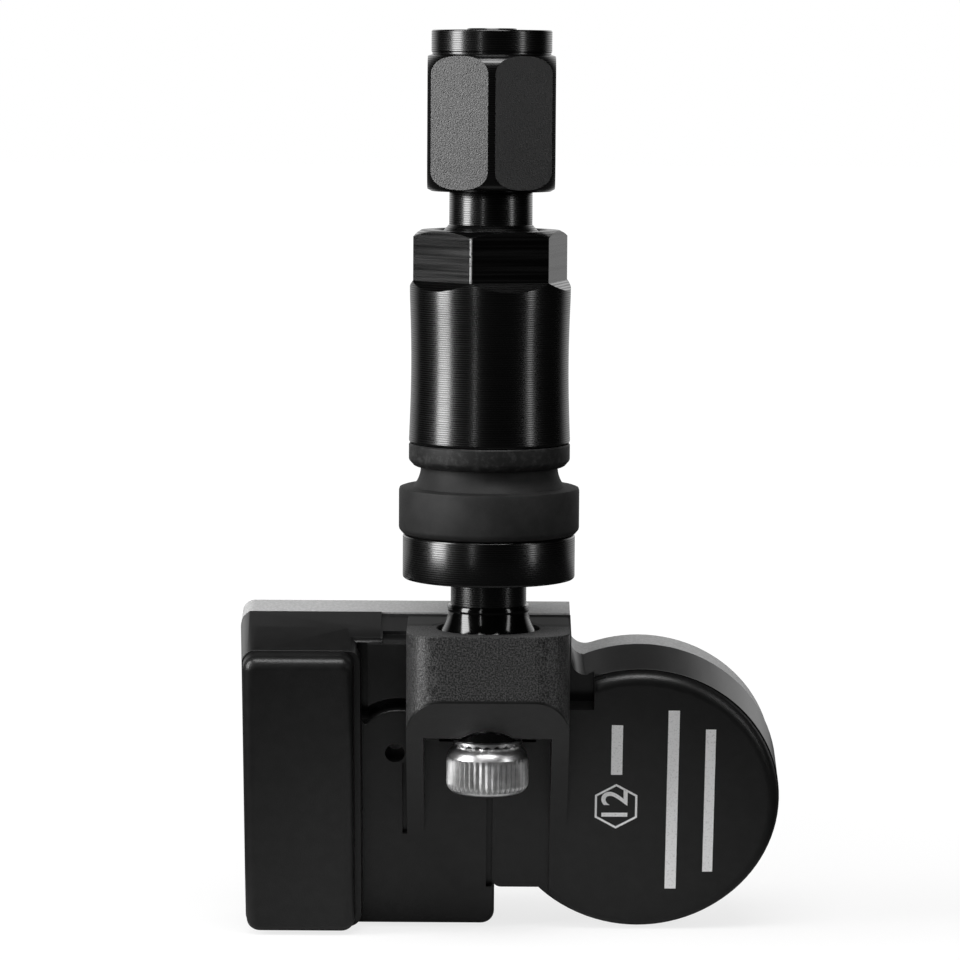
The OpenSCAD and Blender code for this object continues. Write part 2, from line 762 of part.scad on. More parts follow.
// Upright bracket block round the ball foot, before it is hollowed
module bracket_block()
    difference() {
        translate([0, 0, pivot_z + lip_h - 22])
            linear_extrude(22)
                union() {
                    translate([-bracket_w / 2, -bracket_front + bracket_corner])
                        square([bracket_w, bracket_front + 6.8 - bracket_corner]);
                    translate([-bracket_w / 2 + bracket_corner, -bracket_front])
                        square([bracket_w - 2 * bracket_corner, bracket_front]);
                    for (side = [-1, 1])
                        translate([side * (bracket_w / 2 - bracket_corner), -bracket_front + bracket_corner])
                            circle(bracket_corner);
                }
        // Slanted cut from the front wall's lower edge back to the middle plate
        translate([0, -bracket_front, pivot_z + lip_h - front_wall_h])
            rotate([cut_angle, 0, 0])
                translate([-bracket_w, -40, -60])
                    cube([2 * bracket_w, 40, 80]);
    }

// Hollows of the bracket: the ball's socket, the seat, the screw's slot and the room between the legs
module bracket_hollows() {
    slot_r = screw_d / 2 + slot_gap;
    translate([0, 0, pivot_z])
        rotate_extrude()
            polygon(concat(
                arc([0, 0], ball_r + running_gap, -90, 0, 20),
                [[seat_r, 0], [seat_r, 4], [0, 4]]));
    for (a = [-tilt_back, tilt_forward])
        translate([0, 0, pivot_z])
            rotate([a, 0, 0])
                translate([0, 0, -roof_r - 1])
                    cylinder(r = slot_r, h = roof_r - 1);
    translate([slot_r - 0.03, 0, pivot_z])
        rotate([0, -90, 0])
            linear_extrude(2 * slot_r - 0.06)
                polygon([[0, 0], [-roof_r - 1, -(roof_r + 1) * tan(tilt_back)],
                    [-roof_r - 1, (roof_r + 1) * tan(tilt_forward)]]);
    // Room between the legs, below the curved roof
    difference() {
        in_housing()
            block([-inner_w / 2, -20, -plate_h], [inner_w / 2, 0, -roof_r / 2]);
        translate([-inner_w, 0, pivot_z])
            rotate([0, 90, 0])
                cylinder(r = roof_r, h = 2 * inner_w);
    }
    difference() {
        arched_sweep(channel_half, channel_h, 0);
        translate([-10, -10, pivot_z - roof_r / 2])
            cube(20);
    }
}

// Solid outer form of the box, plates and round part, in the housing's frame
module outer_form() {
    // Left box: smooth wall, and a grained front part set in by the parting step
    difference() {
        union() {
            rounded_plate(-left_side + draft, -box_right + draft, -plate_h + draft + box_rise, -box_dip,
                box_step_y, back_y, corner_r, 0.05, draft);
            rounded_plate(-left_side + draft + parting_step, -box_right,
                -plate_h + draft + box_rise + parting_step, -box_dip - parting_step,
                box_front_y, 0, corner_r, box_edge, 0.1);
        }
        block([-left_side - 1, -box_proud, 0], [0, back_y + 1, 2]);
    }
    // Middle plate, and the higher piece of top wall between it and the box
    rounded_plate(-box_right - 2, plate_right, -plate_h, -top_step, 0, back_y, corner_r, plate_edge, 0);
    translate([-box_right - corner_r + draft, 0, 0])
        rotate([90, 0, 90])
            linear_extrude(top_step_x + box_right + corner_r - draft)
                polygon([[plate_edge, -2], [back_y, -2], [back_y, 0], [top_flat_y, 0],
                    [plate_edge, -top_front]]);
    // Right plate, which runs into the round part
    rounded_plate(plate_right - 0.2, round_x, right_plate_z, -pocket_z + 0.3,
        round_front_y, back_y, 0.8, 0.45, 0);
    // Top wall to the right of the bracket, down to the valley
    intersection() {
        slab(0, 0, back_y);
        block([-1, -1, -pocket_z - 1], [pocket_right + 1, back_y + 1, -top_step]);
    }
    // Round part with its parting step
    translate([round_x, 0, -round_z])
        rotate([90, 0, 0])
            rotate_extrude()
                polygon(concat([
                    [0, -back_y],
                    [round_r + 0.2, -back_y],
                    [round_r + parting_step, -round_step_y],
                    [round_r, -round_step_y]],
                    arc([round_r - round_edge, -round_front_y - round_edge], round_edge, 0, 90, 8),
                    [[0, -round_front_y]]));
}

// Hollow inside the housing, open at the back
module inner_hollow()
    difference() {
        union() {
            slab(wall, board_y, back_y + over);
            slab(wall + ledge, plate_t, board_y + 0.01);
            // Deep room in the left box
            through(box_front_y + wall, board_y + 0.01)
                translate([-left_side + wall + ledge, -plate_h + wall + ledge + 0.3])
                    square([left_side - box_right - 2 * wall - ledge, plate_h - 2 * wall - 2 * ledge - 0.3]);
            // Round room for the battery
            bar_y(round_x, -round_z, round_r - wall, round_front_y + wall, board_y + 0.01);
        }
        // Solid corner behind the pocket beside the bracket
        block([-1, -over, -pocket_z - 0.9], [pocket_right + 0.9, groove_depth + 1.1, 1]);
    }

// Grooves, pockets and the port in the front of the housing
module front_cuts() {
    // Pocket beside the left box
    block([-box_right + side_pocket_gap, -1, -side_pocket_low],
        [-box_right + side_pocket_gap + side_pocket_w, groove_depth, -side_pocket_high]);
    // Arched groove above the port boss
    intersection() {
        difference() {
            bar_y(-boss_x, -boss_z, boss_r + groove_w, -1, groove_depth);
            bar_y(-boss_x, -boss_z, boss_r, -1, groove_depth + over);
        }
        block([-box_right + side_pocket_gap, -1, -boss_z + groove_end],
            [-bracket_w / 2 + 0.1, groove_depth, 0]);
    }
    // Narrow slot beside the left leg
    block([-bracket_w / 2 - leg_slot_w, -1, -leg_slot_low],
        [-bracket_w / 2 - shy, leg_slot_depth, -leg_slot_high]);
    // Pocket between the bracket and the round part, open at the top
    block([bracket_w / 2 + shy, -1, -pocket_z], [pocket_right, groove_depth, 1]);
    // Shallow step in the top wall, beside the bracket
    block([top_step_x + 0.2, -1, -top_step - 0.3], [-bracket_w / 2 - shy, 2.2, 1]);
    // Groove between the middle plate and the right one
    block([plate_right - 0.2 - seam_w, -1, right_plate_z - 0.01],
        [plate_right - 0.2, seam_depth, -seam_high]);
    // Pressure port, and the seat of its filter
    bar_y(-port_x, -boss_z, port_d / 2, -1, plate_t + over);
    bar_y(-port_x, -boss_z, filter_d / 2 + filter_gap, plate_t - filter_t, plate_t + over);
}

// Moulded plastic housing with the bracket
module housing()
    color([0.14, 0.14, 0.14])
        difference() {
            union() {
                // The bracket ends inside the plate
                difference() {
                    bracket_block();
                    in_housing()
                        block([-left_side, plate_t - 0.5, -plate_h], [left_side, left_side, -wall / 2]);
                }
                in_housing() {
                    outer_form();
                    bar_y(-boss_x, -boss_z, boss_r, -boss_proud, 1);
                    // Small web between the bracket and the round part
                    block([bracket_w / 2 - 0.2, 0.3, -web_low], [bracket_w / 2 + 0.4, 2, -web_high]);
                }
            }
            bracket_hollows();
            in_housing() {
                inner_hollow();
                front_cuts();
            }
        }

// Flat cover that closes the housing's back
module back_cover()
    color([0.7, 0.7, 0.7])
        in_housing() {
            slab(cover_inset, back_y, back_y + cover_t);
            difference() {
                slab(wall + 0.05, board_y + board_t, back_y);
                slab(wall + rim_t, board_y, back_y + over);
            }
        }

// Circuit board, which rests on the ledge in the housing
module circuit_board()
    color("darkgreen")
        in_housing()
            slab(wall + board_gap, board_y, board_y + board_t);

// Coin cell in the round part
module battery_cell()
    color("silver")
        in_housing()
            translate([cell_x, 0, -cell_z])
                rotate([90, 0, 0])
                    rotate_extrude()
                        polygon([
                            [0, -cell_y - cell_t],
                            [cell_d / 2 - 0.3, -cell_y - cell_t],
                            [cell_d / 2, -cell_y - cell_t + 0.3],
                            [cell_d / 2, -cell_y - 0.5],
                            [cell_d / 2 - 0.5, -cell_y],
                            [0, -cell_y]]);

// Metal strip from the cell's front face to the circuit board
module battery_tab_front()
    color("lightgray")
        in_housing() {
            block([tab_foot_x, cell_y - tab_t, -cell_z - tab_w / 2],
                [cell_x + tab_reach, cell_y, -cell_z + tab_w / 2]);
            block([tab_foot_x, cell_y, -cell_z - tab_w / 2],
                [tab_foot_x + tab_t, board_y, -cell_z + tab_w / 2]);
        }

// Metal strip from the cell's back face to the circuit board
module battery_tab_back()
    color("lightgray")
        in_housing()
            translate([back_tab_x, cell_y + cell_t, -back_tab_z]) {
                cube([2 * tab_w, tab_t, tab_w]);
                translate([0, tab_t, 0])
                    cube([tab_w / 2, board_y - cell_y - cell_t - tab_t, tab_w]);
            }

// Square sensor chip behind the port
module pressure_sensor()
    color([0.2, 0.2, 0.2])
        in_housing()
            difference() {
                block([-port_x - sensor_side / 2, board_y - sensor_t, -boss_z - sensor_side / 2],
                    [-port_x + sensor_side / 2, board_y, -boss_z + sensor_side / 2]);
                bar_y(-port_x, -boss_z, sensor_hole_d / 2, board_y - sensor_t - over, board_y - sensor_t / 2);
            }

// Rubber ring between the sensor chip and the plate
module sensor_gasket()
    color([0.1, 0.1, 0.1])
        in_housing()
            difference() {
                bar_y(-port_x, -boss_z, gasket_d / 2, plate_t, plate_t + gasket_t);
                bar_y(-port_x, -boss_z, gasket_hole_d / 2, plate_t - over, plate_t + gasket_t + over);
            }

// Thin disc that keeps dirt out of the port
module port_filter()
    color("white")
        in_housing()
            bar_y(-port_x, -boss_z, filter_d / 2, plate_t - filter_t, plate_t);

// Part soldered flat on the board's front: centre in X and Z, width, height and thickness
module on_board(x, z, w, h, t)
    in_housing()
        block([x - w / 2, board_y - t, z - h / 2], [x + w / 2, board_y, z + h / 2]);

// Radio chip
module transmitter_chip()
    color([0.15, 0.15, 0.15])
        on_board(chip_x, chip_z, chip_side, chip_side, 0.9);

// Crystal in a metal can, beside the radio chip
module crystal()
    color("silver")
        on_board(chip_x - chip_side / 2 - 2.6, chip_z, 3.2, 2.5, 0.8);

// Row of small capacitors and resistors, below the pressure sensor
module chip_capacitors()
    color("tan")
        for (i = [0 : 4])
            on_board(-port_x - 1.5 + 2.6 * i, -boss_z - sensor_side / 2 - 0.7, 1.6, 0.8, 0.8);

// Sheet-metal aerial that bridges the left box
module antenna_strip()
    color("goldenrod")
        in_housing()
            translate([-room_x - aerial_w / 2, 0, 0]) {
                block([0, aerial_y, -aerial_low], [aerial_w, aerial_y + aerial_t, -aerial_high]);
                for (z = [-aerial_low, -aerial_high - aerial_t])
                    block([0, aerial_y + aerial_t, z], [aerial_w, board_y, z + aerial_t]);
            }

// Ferrite bar of the wake-up coil, with a waist for the winding
module coil_core()
    color([0.25, 0.25, 0.25])
        in_housing()
            translate([-room_x, 0, 0])
                difference() {
                    block([-coil_w / 2, coil_y, -coil_low], [coil_w / 2, board_y, -coil_high]);
                    difference() {
                        block([-coil_w, coil_y - 1, -winding_low], [coil_w, board_y + 1, -winding_high]);
                        block([-coil_w / 2 + waist, coil_y + waist, -winding_low - 1],
                            [coil_w / 2 - waist, board_y - waist, -winding_high + 1]);
                    }
                }

// Copper winding on the ferrite bar
module coil_winding()
    color("chocolate")
        in_housing()
            translate([-room_x, 0, 0])
                difference() {
                    block([-coil_w / 2 + 0.1, coil_y + 0.1, -winding_low],
                        [coil_w / 2 - 0.1, board_y - 0.1, -winding_high]);
                    block([-coil_w / 2 + waist, coil_y + waist, -winding_low - over],
                        [coil_w / 2 - waist, board_y - waist, -winding_high + over]);
                }

valve_stem();
rubber_seal();
nut_washer();
sleeve_nut();
valve_cap();
cap_seal();
core_body();
core_seal();
core_pin();
core_cup();
core_spring();
saddle_washer();
lock_washer();
clamp_screw();
housing();
back_cover();
circuit_board();
battery_cell();
battery_tab_front();
battery_tab_back();
pressure_sensor();
sensor_gasket();
port_filter();
transmitter_chip();
crystal();
chip_capacitors();
antenna_strip();
coil_core();
coil_winding();
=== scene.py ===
# %% [markdown]
# # A tyre pressure sensor with its metal valve
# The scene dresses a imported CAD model. Every piece below is measured in millimetres on the drawing and
# in metres in Blender. The origin is on the valve's axis, on the face of the rubber seal that the wheel
# presses on. Z runs out along the valve, X to the right of the housing's front, Y to its back.

# %% Load the frame
import math

import bmesh
import bpy
from mathutils import Matrix, Vector


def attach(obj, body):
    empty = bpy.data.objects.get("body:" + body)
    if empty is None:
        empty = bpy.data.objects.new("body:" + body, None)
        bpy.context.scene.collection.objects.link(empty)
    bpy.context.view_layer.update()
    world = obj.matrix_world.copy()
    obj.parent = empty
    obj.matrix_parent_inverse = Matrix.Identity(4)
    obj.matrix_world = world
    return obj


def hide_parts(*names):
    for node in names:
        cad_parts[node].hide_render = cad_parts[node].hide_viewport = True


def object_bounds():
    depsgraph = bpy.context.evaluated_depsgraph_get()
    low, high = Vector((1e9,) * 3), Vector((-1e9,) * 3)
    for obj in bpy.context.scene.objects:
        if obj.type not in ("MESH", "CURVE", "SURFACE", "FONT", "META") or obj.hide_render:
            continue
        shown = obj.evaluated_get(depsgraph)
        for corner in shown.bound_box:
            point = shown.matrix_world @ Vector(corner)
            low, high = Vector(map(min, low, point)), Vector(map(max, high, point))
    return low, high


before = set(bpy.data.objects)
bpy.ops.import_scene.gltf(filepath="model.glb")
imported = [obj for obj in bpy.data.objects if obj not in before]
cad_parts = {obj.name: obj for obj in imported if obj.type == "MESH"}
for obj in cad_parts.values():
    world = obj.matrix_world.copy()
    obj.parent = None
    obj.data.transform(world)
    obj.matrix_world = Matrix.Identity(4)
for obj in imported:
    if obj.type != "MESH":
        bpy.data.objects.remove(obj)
cad_box = [list(map(float, corner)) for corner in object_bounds()]
MM = 0.001
print("CAD box in mm:", [[round(v / MM, 1) for v in corner] for corner in cad_box])

# %% [markdown]
# ## Writing shader maths as sums
# A node tree for noise, rings and worn edges soon holds dozens of Math nodes. One small class wraps a
# socket, so that a sum in Python adds those nodes itself, and one method makes any other node. The
# settings of a node go in first, because some of them change its sockets.

# %% The class that wraps a socket
class Term:
    """A socket of a node tree that can stand in a sum."""

    def __init__(self, tree, socket):
        self.tree = tree
        self.socket = socket

    def node(self, kind, settings=None, **inputs):
        """Adds any other node: its settings first, then its sockets by name, or by number as i0, i1."""
        made = self.tree.nodes.new(kind)
        for key, value in (settings or {}).items():
            setattr(made, key, value)
        for name, value in inputs.items():
            numbered = name[0] == "i" and name[1:].isdigit()
            self.link(made.inputs[int(name[1:]) if numbered else name.replace("_", " ")], value)
        return Term(self.tree, made.outputs[0])

    def link(self, socket, value):
        """Joins a term to a socket, or writes a plain value on it."""
        if isinstance(value, Term):
            self.tree.links.new(value.socket, socket)
        else:
            socket.default_value = value

    def sum(self, operation, first, second):
        return self.node("ShaderNodeMath", {"operation": operation}, i0=first, i1=second)

    def __add__(self, other):
        return self.sum("ADD", self, other)

    def __radd__(self, other):
        return self.sum("ADD", other, self)

    def __sub__(self, other):
        return self.sum("SUBTRACT", self, other)

    def __rsub__(self, other):
        return self.sum("SUBTRACT", other, self)

    def __mul__(self, other):
        return self.sum("MULTIPLY", self, other)

    def __rmul__(self, other):
        return self.sum("MULTIPLY", other, self)

    def __truediv__(self, other):
        return self.sum("DIVIDE", self, other)

    def __rtruediv__(self, other):
        return self.sum("DIVIDE", other, self)

    def __pow__(self, other):
        return self.sum("POWER", self, other)

    def __abs__(self):
        return self.sum("ABSOLUTE", self, 0.0)

    def above(self, low, high):
        """0 below low, 1 above high, and a smooth step between."""
        return self.node("ShaderNodeMapRange", {"interpolation_type": "SMOOTHSTEP"},
                         i0=self, i1=low, i2=high, i3=0.0, i4=1.0)

    def sine(self):
        return self.sum("SINE", self, 0.0)


def parts_of(vector):
    """The three numbers of a vector."""
    split = vector.tree.nodes.new("ShaderNodeSeparateXYZ")
    vector.tree.links.new(vector.socket, split.inputs[0])
    return [Term(vector.tree, split.outputs[i]) for i in range(3)]


def mixed(factor, first, second):
    """One colour over another by a factor."""
    node = factor.tree.nodes.new("ShaderNodeMix")
    node.data_type = "RGBA"
    factor.link(node.inputs[0], factor)
    factor.link(node.inputs[6], first)
    factor.link(node.inputs[7], second)
    return Term(factor.tree, node.outputs[2])


print("shader sums ready")

# %% [markdown]
# ## One way to start every finish
# Each finish starts from a Principled shader and the object's own coordinates, in millimetres. Constant
# values go on the shader's own sockets, and only what changes over the surface is linked.

# %% A finish to build on
def finish_of(name, **constants):
    """A new material with its Principled shader, and the object's coordinates in millimetres."""
    material = bpy.data.materials.new(name)
    material.use_nodes = True
    tree = material.node_tree
    shader = tree.nodes["Principled BSDF"]
    for key, value in constants.items():
        shader.inputs[key.replace("_", " ")].default_value = value
    place = Term(tree, tree.nodes.new("ShaderNodeTexCoord").outputs["Object"])
    place = place.node("ShaderNodeVectorMath", {"operation": "SCALE"}, i0=place, i3=1 / MM)
    return material, shader, place


def bump(shader, height, depth_mm):
    """Feeds a height between 0 and 1 to the shader's normal, as relief of so many millimetres."""
    relief = height.node("ShaderNodeBump", {}, Height=height, Distance=depth_mm * MM, Strength=1.0)
    height.tree.links.new(relief.socket, shader.inputs["Normal"])


def grain(place, scale, detail=2.0, rough=0.5):
    """Noise from 0 to 1, with so many grains to the millimetre."""
    return place.node("ShaderNodeTexNoise", {}, Vector=place, Scale=scale, Detail=detail, Roughness=rough)


def grey(value):
    """A screen value from 0 to 255 as the linear colour that renders so."""
    c = value / 255
    linear = c / 12.92 if c <= 0.04045 else ((c + 0.055) / 1.055) ** 2.4
    return (linear, linear, linear, 1.0)


def set_finish(node, material):
    """Gives a CAD node's own mesh one finish."""
    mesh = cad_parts[node].data
    mesh.materials.clear()
    mesh.materials.append(material)


print("screen grey 40 is", round(grey(40)[0], 4), "linear")

# %% [markdown]
# ## The camera
# The photograph was taken from the front, a little above, with a long lens. The camera is placed where
# the origin and the two ends of the valve fall on their places in the picture.

# %% Camera
camera = bpy.data.objects.new("camera", bpy.data.cameras.new("camera"))
bpy.context.scene.collection.objects.link(camera)
camera.data.lens = 150
camera.data.sensor_width = 36
camera.data.clip_start = 0.01
camera_tilt = math.radians(5.8)
camera_roll = math.radians(0.35)
camera.location = Vector((-0.8, -346.2, 35.7)) * MM
turned_down = Matrix.Rotation(math.pi / 2 - camera_tilt, 3, "X")
camera.rotation_euler = (turned_down @ Matrix.Rotation(camera_roll, 3, "Z")).to_euler()
bpy.context.scene.camera = camera
print("camera at", [round(v, 4) for v in camera.location])

# %% [markdown]
# ## Turning pieces on the lathe
# Most of the valve is turned from bar, so its pieces start as half a section and are spun round the Z
# axis. A closed section gives a closed piece with a bore through it. Where the section touches the axis,
# the doubled points are merged into one.

# %% Lathe and bevel
def spun(section, steps=96):
    """A bmesh turned from a closed section of (radius, height) points in millimetres."""
    bm = bmesh.new()
    corners = [bm.verts.new((r * MM, 0, z * MM)) for r, z in section]
    edges = [bm.edges.new((corners[i], corners[(i + 1) % len(corners)])) for i in range(len(corners))
             if section[i][0] > 1e-6 or section[(i + 1) % len(corners)][0] > 1e-6]
    bmesh.ops.spin(bm, geom=corners + edges, cent=(0, 0, 0), axis=(0, 0, 1), angle=2 * math.pi,
                   steps=steps, use_merge=True, use_duplicate=False)
    bmesh.ops.remove_doubles(bm, verts=bm.verts, dist=1e-7)
    bmesh.ops.recalc_face_normals(bm, faces=bm.faces)
    return bm


def arc(centre, r, start, end, steps=6):
    """Points of an arc for a section, angles in degrees."""
    return [(centre[0] + r * math.cos(math.radians(start + (end - start) * i / steps)),
             centre[1] + r * math.sin(math.radians(start + (end - start) * i / steps)))
            for i in range(steps + 1)]


def soften(bm, width_mm, sharper_than=30, segments=2):
    """Rounds every edge where two faces turn by more than an angle."""
    sharp = [e for e in bm.edges if len(e.link_faces) == 2 and
             e.calc_face_angle(0) > math.radians(sharper_than)]
    bmesh.ops.bevel(bm, geom=sharp, offset=width_mm * MM, offset_type="OFFSET", affect="EDGES",
                    segments=segments, profile=0.5, material=-1, clamp_overlap=True)
    return len(sharp)


print("lathe ready")

# %% From bmesh to object
def picked(geom, kind):
    """The verts, edges or faces in an operator's result."""
    return [part for part in geom if isinstance(part, kind)]


def join_into(bm, other):
    """Adds another bmesh to a bmesh, with its materials, and frees the other."""
    carrier = bpy.data.meshes.new("carrier")
    other.to_mesh(carrier)
    other.free()
    bm.from_mesh(carrier)
    bpy.data.meshes.remove(carrier)


def piece(name, bm, body, *materials, smooth=35, stands_for=(), flat_faces=False):
    """Makes the object, shades it smooth up to an angle, and fixes it to a body of the frame."""
    mesh = bpy.data.meshes.new(name)
    bm.to_mesh(mesh)
    bm.free()
    mesh.shade_smooth()
    mesh.set_sharp_from_angle(angle=math.radians(smooth))
    made = bpy.data.objects.new(name, mesh)
    bpy.context.scene.collection.objects.link(made)
    for material in materials:
        mesh.materials.append(material)
    if flat_faces:
        weighted = made.modifiers.new("weighted", "WEIGHTED_NORMAL")
        weighted.keep_sharp = True
    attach(made, body)
    if stands_for:
        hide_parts(*stands_for)
    print(name, len(mesh.polygons), "faces")


print("pieces can be made")

# %% [markdown]
# ## Black anodised metal
# Valve, nut and cap are aluminium, turned and then anodised black. The tool leaves fine rings, seen as
# light and dark threads where a lamp is mirrored. The rings are a sine of the height, made uneven by
# noise that is stretched round the axis, and they go into the bump. Cut as real grooves they would need
# some hundreds of faces along each piece. The milled and blasted flats get their own finishes.

# %% Turned metal
def turned_black(name, lines_per_mm, rough, spread, glint, depth_mm):
    """Black metal with tool rings: their number, the roughness and its spread, the glint and the relief."""
    material, shader, place = finish_of(name, Specular_IOR_Level=0.5, Coat_Roughness=0.18)
    x, y, z = parts_of(place)
    uneven = grain(place.node("ShaderNodeCombineXYZ", {}, i0=x * 0.25, i1=y * 0.25, i2=z * 5.0), 1.0, 3.0, 0.7)
    rings = (z * (2 * math.pi * lines_per_mm) + uneven * 3.0).sine() * 0.5 + 0.5
    tops = rings * 0.6 + uneven * 0.4
    place.link(shader.inputs["Base Color"], mixed(tops, grey(1), grey(6)))
    place.link(shader.inputs["Roughness"], rough + spread * tops)
    place.link(shader.inputs["Coat Weight"], (1.0 - tops.above(0.3, 0.7)) * glint)
    bump(shader, tops, depth_mm)
    return material


turned = turned_black("turned_black", 5.3, 0.17, 0.15, 0.6, 0.0025)
polished = turned_black("polished_black", 5.3, 0.1, 0.02, 0.2, 0.0001)
print("turned finishes ready")

# %% Blasted and milled flats
def blasted_black():
    """Fine grains of two greys with a slight relief."""
    material, shader, place = finish_of("blasted_black", Specular_IOR_Level=0.52)
    pits = grain(place, 8.5, 2.0, 0.6)
    place.link(shader.inputs["Base Color"], mixed(pits.above(0.35, 0.65), grey(2), grey(26)))
    place.link(shader.inputs["Roughness"], pits * 0.3 + 0.2)
    bump(shader, pits, 0.03)
    return material


def milled_black():
    """Lines along the cutter's way, and one corner that a spanner has rubbed bright."""
    material, shader, place = finish_of("milled_black", Specular_IOR_Level=0.5)
    x, y, z = parts_of(place)
    lines = grain(place.node("ShaderNodeCombineXYZ", {}, i0=x * 0.06, i1=y * 0.06, i2=z * 4.0), 1.0, 1.0)
    radius = (x * x + y * y) ** 0.5
    one_corner = (0.0 - y).above(5.0, 5.5) * (1.0 - x.above(-0.4, 0.0))
    worn = radius.above(6.86, 6.885) * one_corner * grain(place, 4.0, 2.0).above(0.36, 0.5)
    black = mixed(lines.above(0.3, 0.7), grey(2), grey(10))
    place.link(shader.inputs["Base Color"], mixed(worn, black, grey(170)))
    place.link(shader.inputs["Roughness"], lines * 0.22 + 0.1 + worn * 0.3)
    bump(shader, lines, 0.008)
    return material


blasted = blasted_black()
milled = milled_black()
print("flats ready")

# %% [markdown]
# ## The valve stem
# One long turned piece: threaded tip, bare neck, main thread, collar, and a hollow-curved foot that ends
# in a ball. Both threads are ridges wound round the core of the lathe section by a spin that also climbs
# a little at each step, which is how a helix is made in bmesh.

# %% Threads
def add_thread(bm, r_root, r_crest, z_low, z_high, pitch, steps=36):
    """Winds a ridge with a V section round the Z axis into a bmesh, from z_low to z_high."""
    turns = (z_high - z_low - pitch) / pitch
    corners = [bm.verts.new((r * MM, 0, (z_low + h * pitch) * MM))
               for r, h in ((r_root, 0.0), (r_crest, 0.42), (r_crest, 0.54), (r_root, 0.96))]
    edges = [bm.edges.new((corners[i], corners[(i + 1) % 4])) for i in range(4)]
    count = int(turns * steps)
    bmesh.ops.contextual_create(bm, geom=edges)
    last = bmesh.ops.spin(bm, geom=edges, cent=(0, 0, 0), axis=(0, 0, 1), dvec=(0, 0, pitch * MM / steps),
                          angle=2 * math.pi * count / steps, steps=count, use_duplicate=False)["geom_last"]
    bmesh.ops.contextual_create(bm, geom=picked(last, bmesh.types.BMEdge))
    return count


def bell(r_top, r_foot, z_foot, height, steps=12):
    """Hollow curve from the foot up to the ring."""
    return [(r_top + (r_foot - r_top) * (1 - i / steps) ** 1.7, z_foot + height * i / steps)
            for i in range(1, steps + 1)]


# %% The stem's section
pivot_z = -13.0
ball_r = 4.35
stem_section = (
    [(2.05, -16.6), (2.44, -16.6)] + arc((0, pivot_z), ball_r, -55, 0, 12)[1:]
    + bell(3.5, ball_r, pivot_z + 0.05, 2.05)
    + [(3.55, -10.86), (3.58, -10.6), (3.5, -10.36), (3.3, -10.28), (3.3, -8.02), (7.2, -8.0)]
    + arc((7.25, -7.75), 0.25, -90, 0, 3) + arc((7.25, -4.35), 0.25, 0, 90, 3)
    + [(4.45, -4.1), (4.45, 21.7), (4.2, 22.1), (3.6, 22.75), (3.6, 26.0), (3.45, 26.3), (3.45, 35.6),
       (3.3, 35.88), (2.55, 35.88), (2.55, 28.4), (2.25, 28.4), (2.25, 17.4), (1.0, 17.4), (1.0, -10.1),
       (0, -10.1), (0, -11.4), (2.05, -11.4)])
stem = spun(stem_section)
print("thread steps:", add_thread(stem, 3.4, 3.84, 26.3, 35.5, 0.794), "and",
      add_thread(stem, 4.4, 4.69, -4.0, 21.5, 1.0))

# %% [markdown]
# The air leaves the stem's bore through a small hole at the back of the neck. A drill would make it. Here
# twelve planes cut its outline into the neck's faces, and the rim of that outline is drawn inwards and
# closed at its end, so that the stem stays one closed solid.

# %% The air outlet
outlet = Vector((0, 0, -8.9)) * MM
outlet_r = 0.6 * MM
outlet_end_y = 1.3 * MM
neck_low, neck_high = -10.25 * MM, -8.05 * MM


def on_neck_back(face):
    """True for the faces of the neck that the hole can touch."""
    middle = face.calc_center_median()
    return middle.y > 3.0 * MM and abs(middle.x) < 0.9 * MM and neck_low < middle.z < neck_high


inside = [f for f in stem.faces if on_neck_back(f)]
for i in range(12):
    way = Vector((math.cos(math.radians(30 * i)), 0, math.sin(math.radians(30 * i))))
    around = list(dict.fromkeys(part for f in inside for part in (*f.verts, *f.edges)))
    cut = bmesh.ops.bisect_plane(stem, geom=around + inside, dist=1e-8, plane_co=outlet + way * outlet_r,
                                 plane_no=way)
    inside = [f for f in picked(cut["geom"], bmesh.types.BMFace)
              if (f.calc_center_median() - outlet).dot(way) < outlet_r]
border = [e for e in dict.fromkeys(e for f in inside for e in f.edges)
          if sum(f in inside for f in e.link_faces) == 1]
wall = bmesh.ops.extrude_edge_only(stem, edges=border)["geom"]
bmesh.ops.delete(stem, geom=inside, context="FACES")
bottom = picked(wall, bmesh.types.BMVert)
for v in bottom:
    v.co.y = outlet_end_y
end_rim = [e for e in picked(wall, bmesh.types.BMEdge) if all(v in bottom for v in e.verts)]
bmesh.ops.contextual_create(stem, geom=end_rim)
print("open edges of the stem:", sum(not e.is_manifold for e in stem.edges))

# %% The stem's finish
foot_top_z = -10.2
bmesh.ops.recalc_face_normals(stem, faces=stem.faces)
for face in stem.faces:
    if face.calc_center_median().z < foot_top_z * MM:
        face.material_index = 1
piece("turned_stem", stem, "valve", turned, polished, stands_for=["valve_stem"])

# %% [markdown]
# ## Seal and washer
# The rubber seal is moulded, dull, and lighter where it has been handled. The plastic washer above it is
# harder and shows mottled rub marks. Both are rings, so both are short lathe sections. Their rounded edges
# are written into the section, which is simpler than a bevel afterwards.

# %% Rubber and plastic
def dull_rubber():
    """Dull dark grey with cloudy lighter places."""
    material, shader, place = finish_of("seal_rubber", Specular_IOR_Level=0.3)
    clouds = grain(place, 0.35, 4.0, 0.6)
    specks = grain(place, 5.0, 2.0, 0.6)
    tone = clouds.above(0.35, 0.75) * 0.6 + specks * 0.25
    place.link(shader.inputs["Base Color"], mixed(tone, grey(24), grey(44)))
    place.link(shader.inputs["Roughness"], specks * 0.2 + 0.55)
    bump(shader, specks, 0.008)
    return material


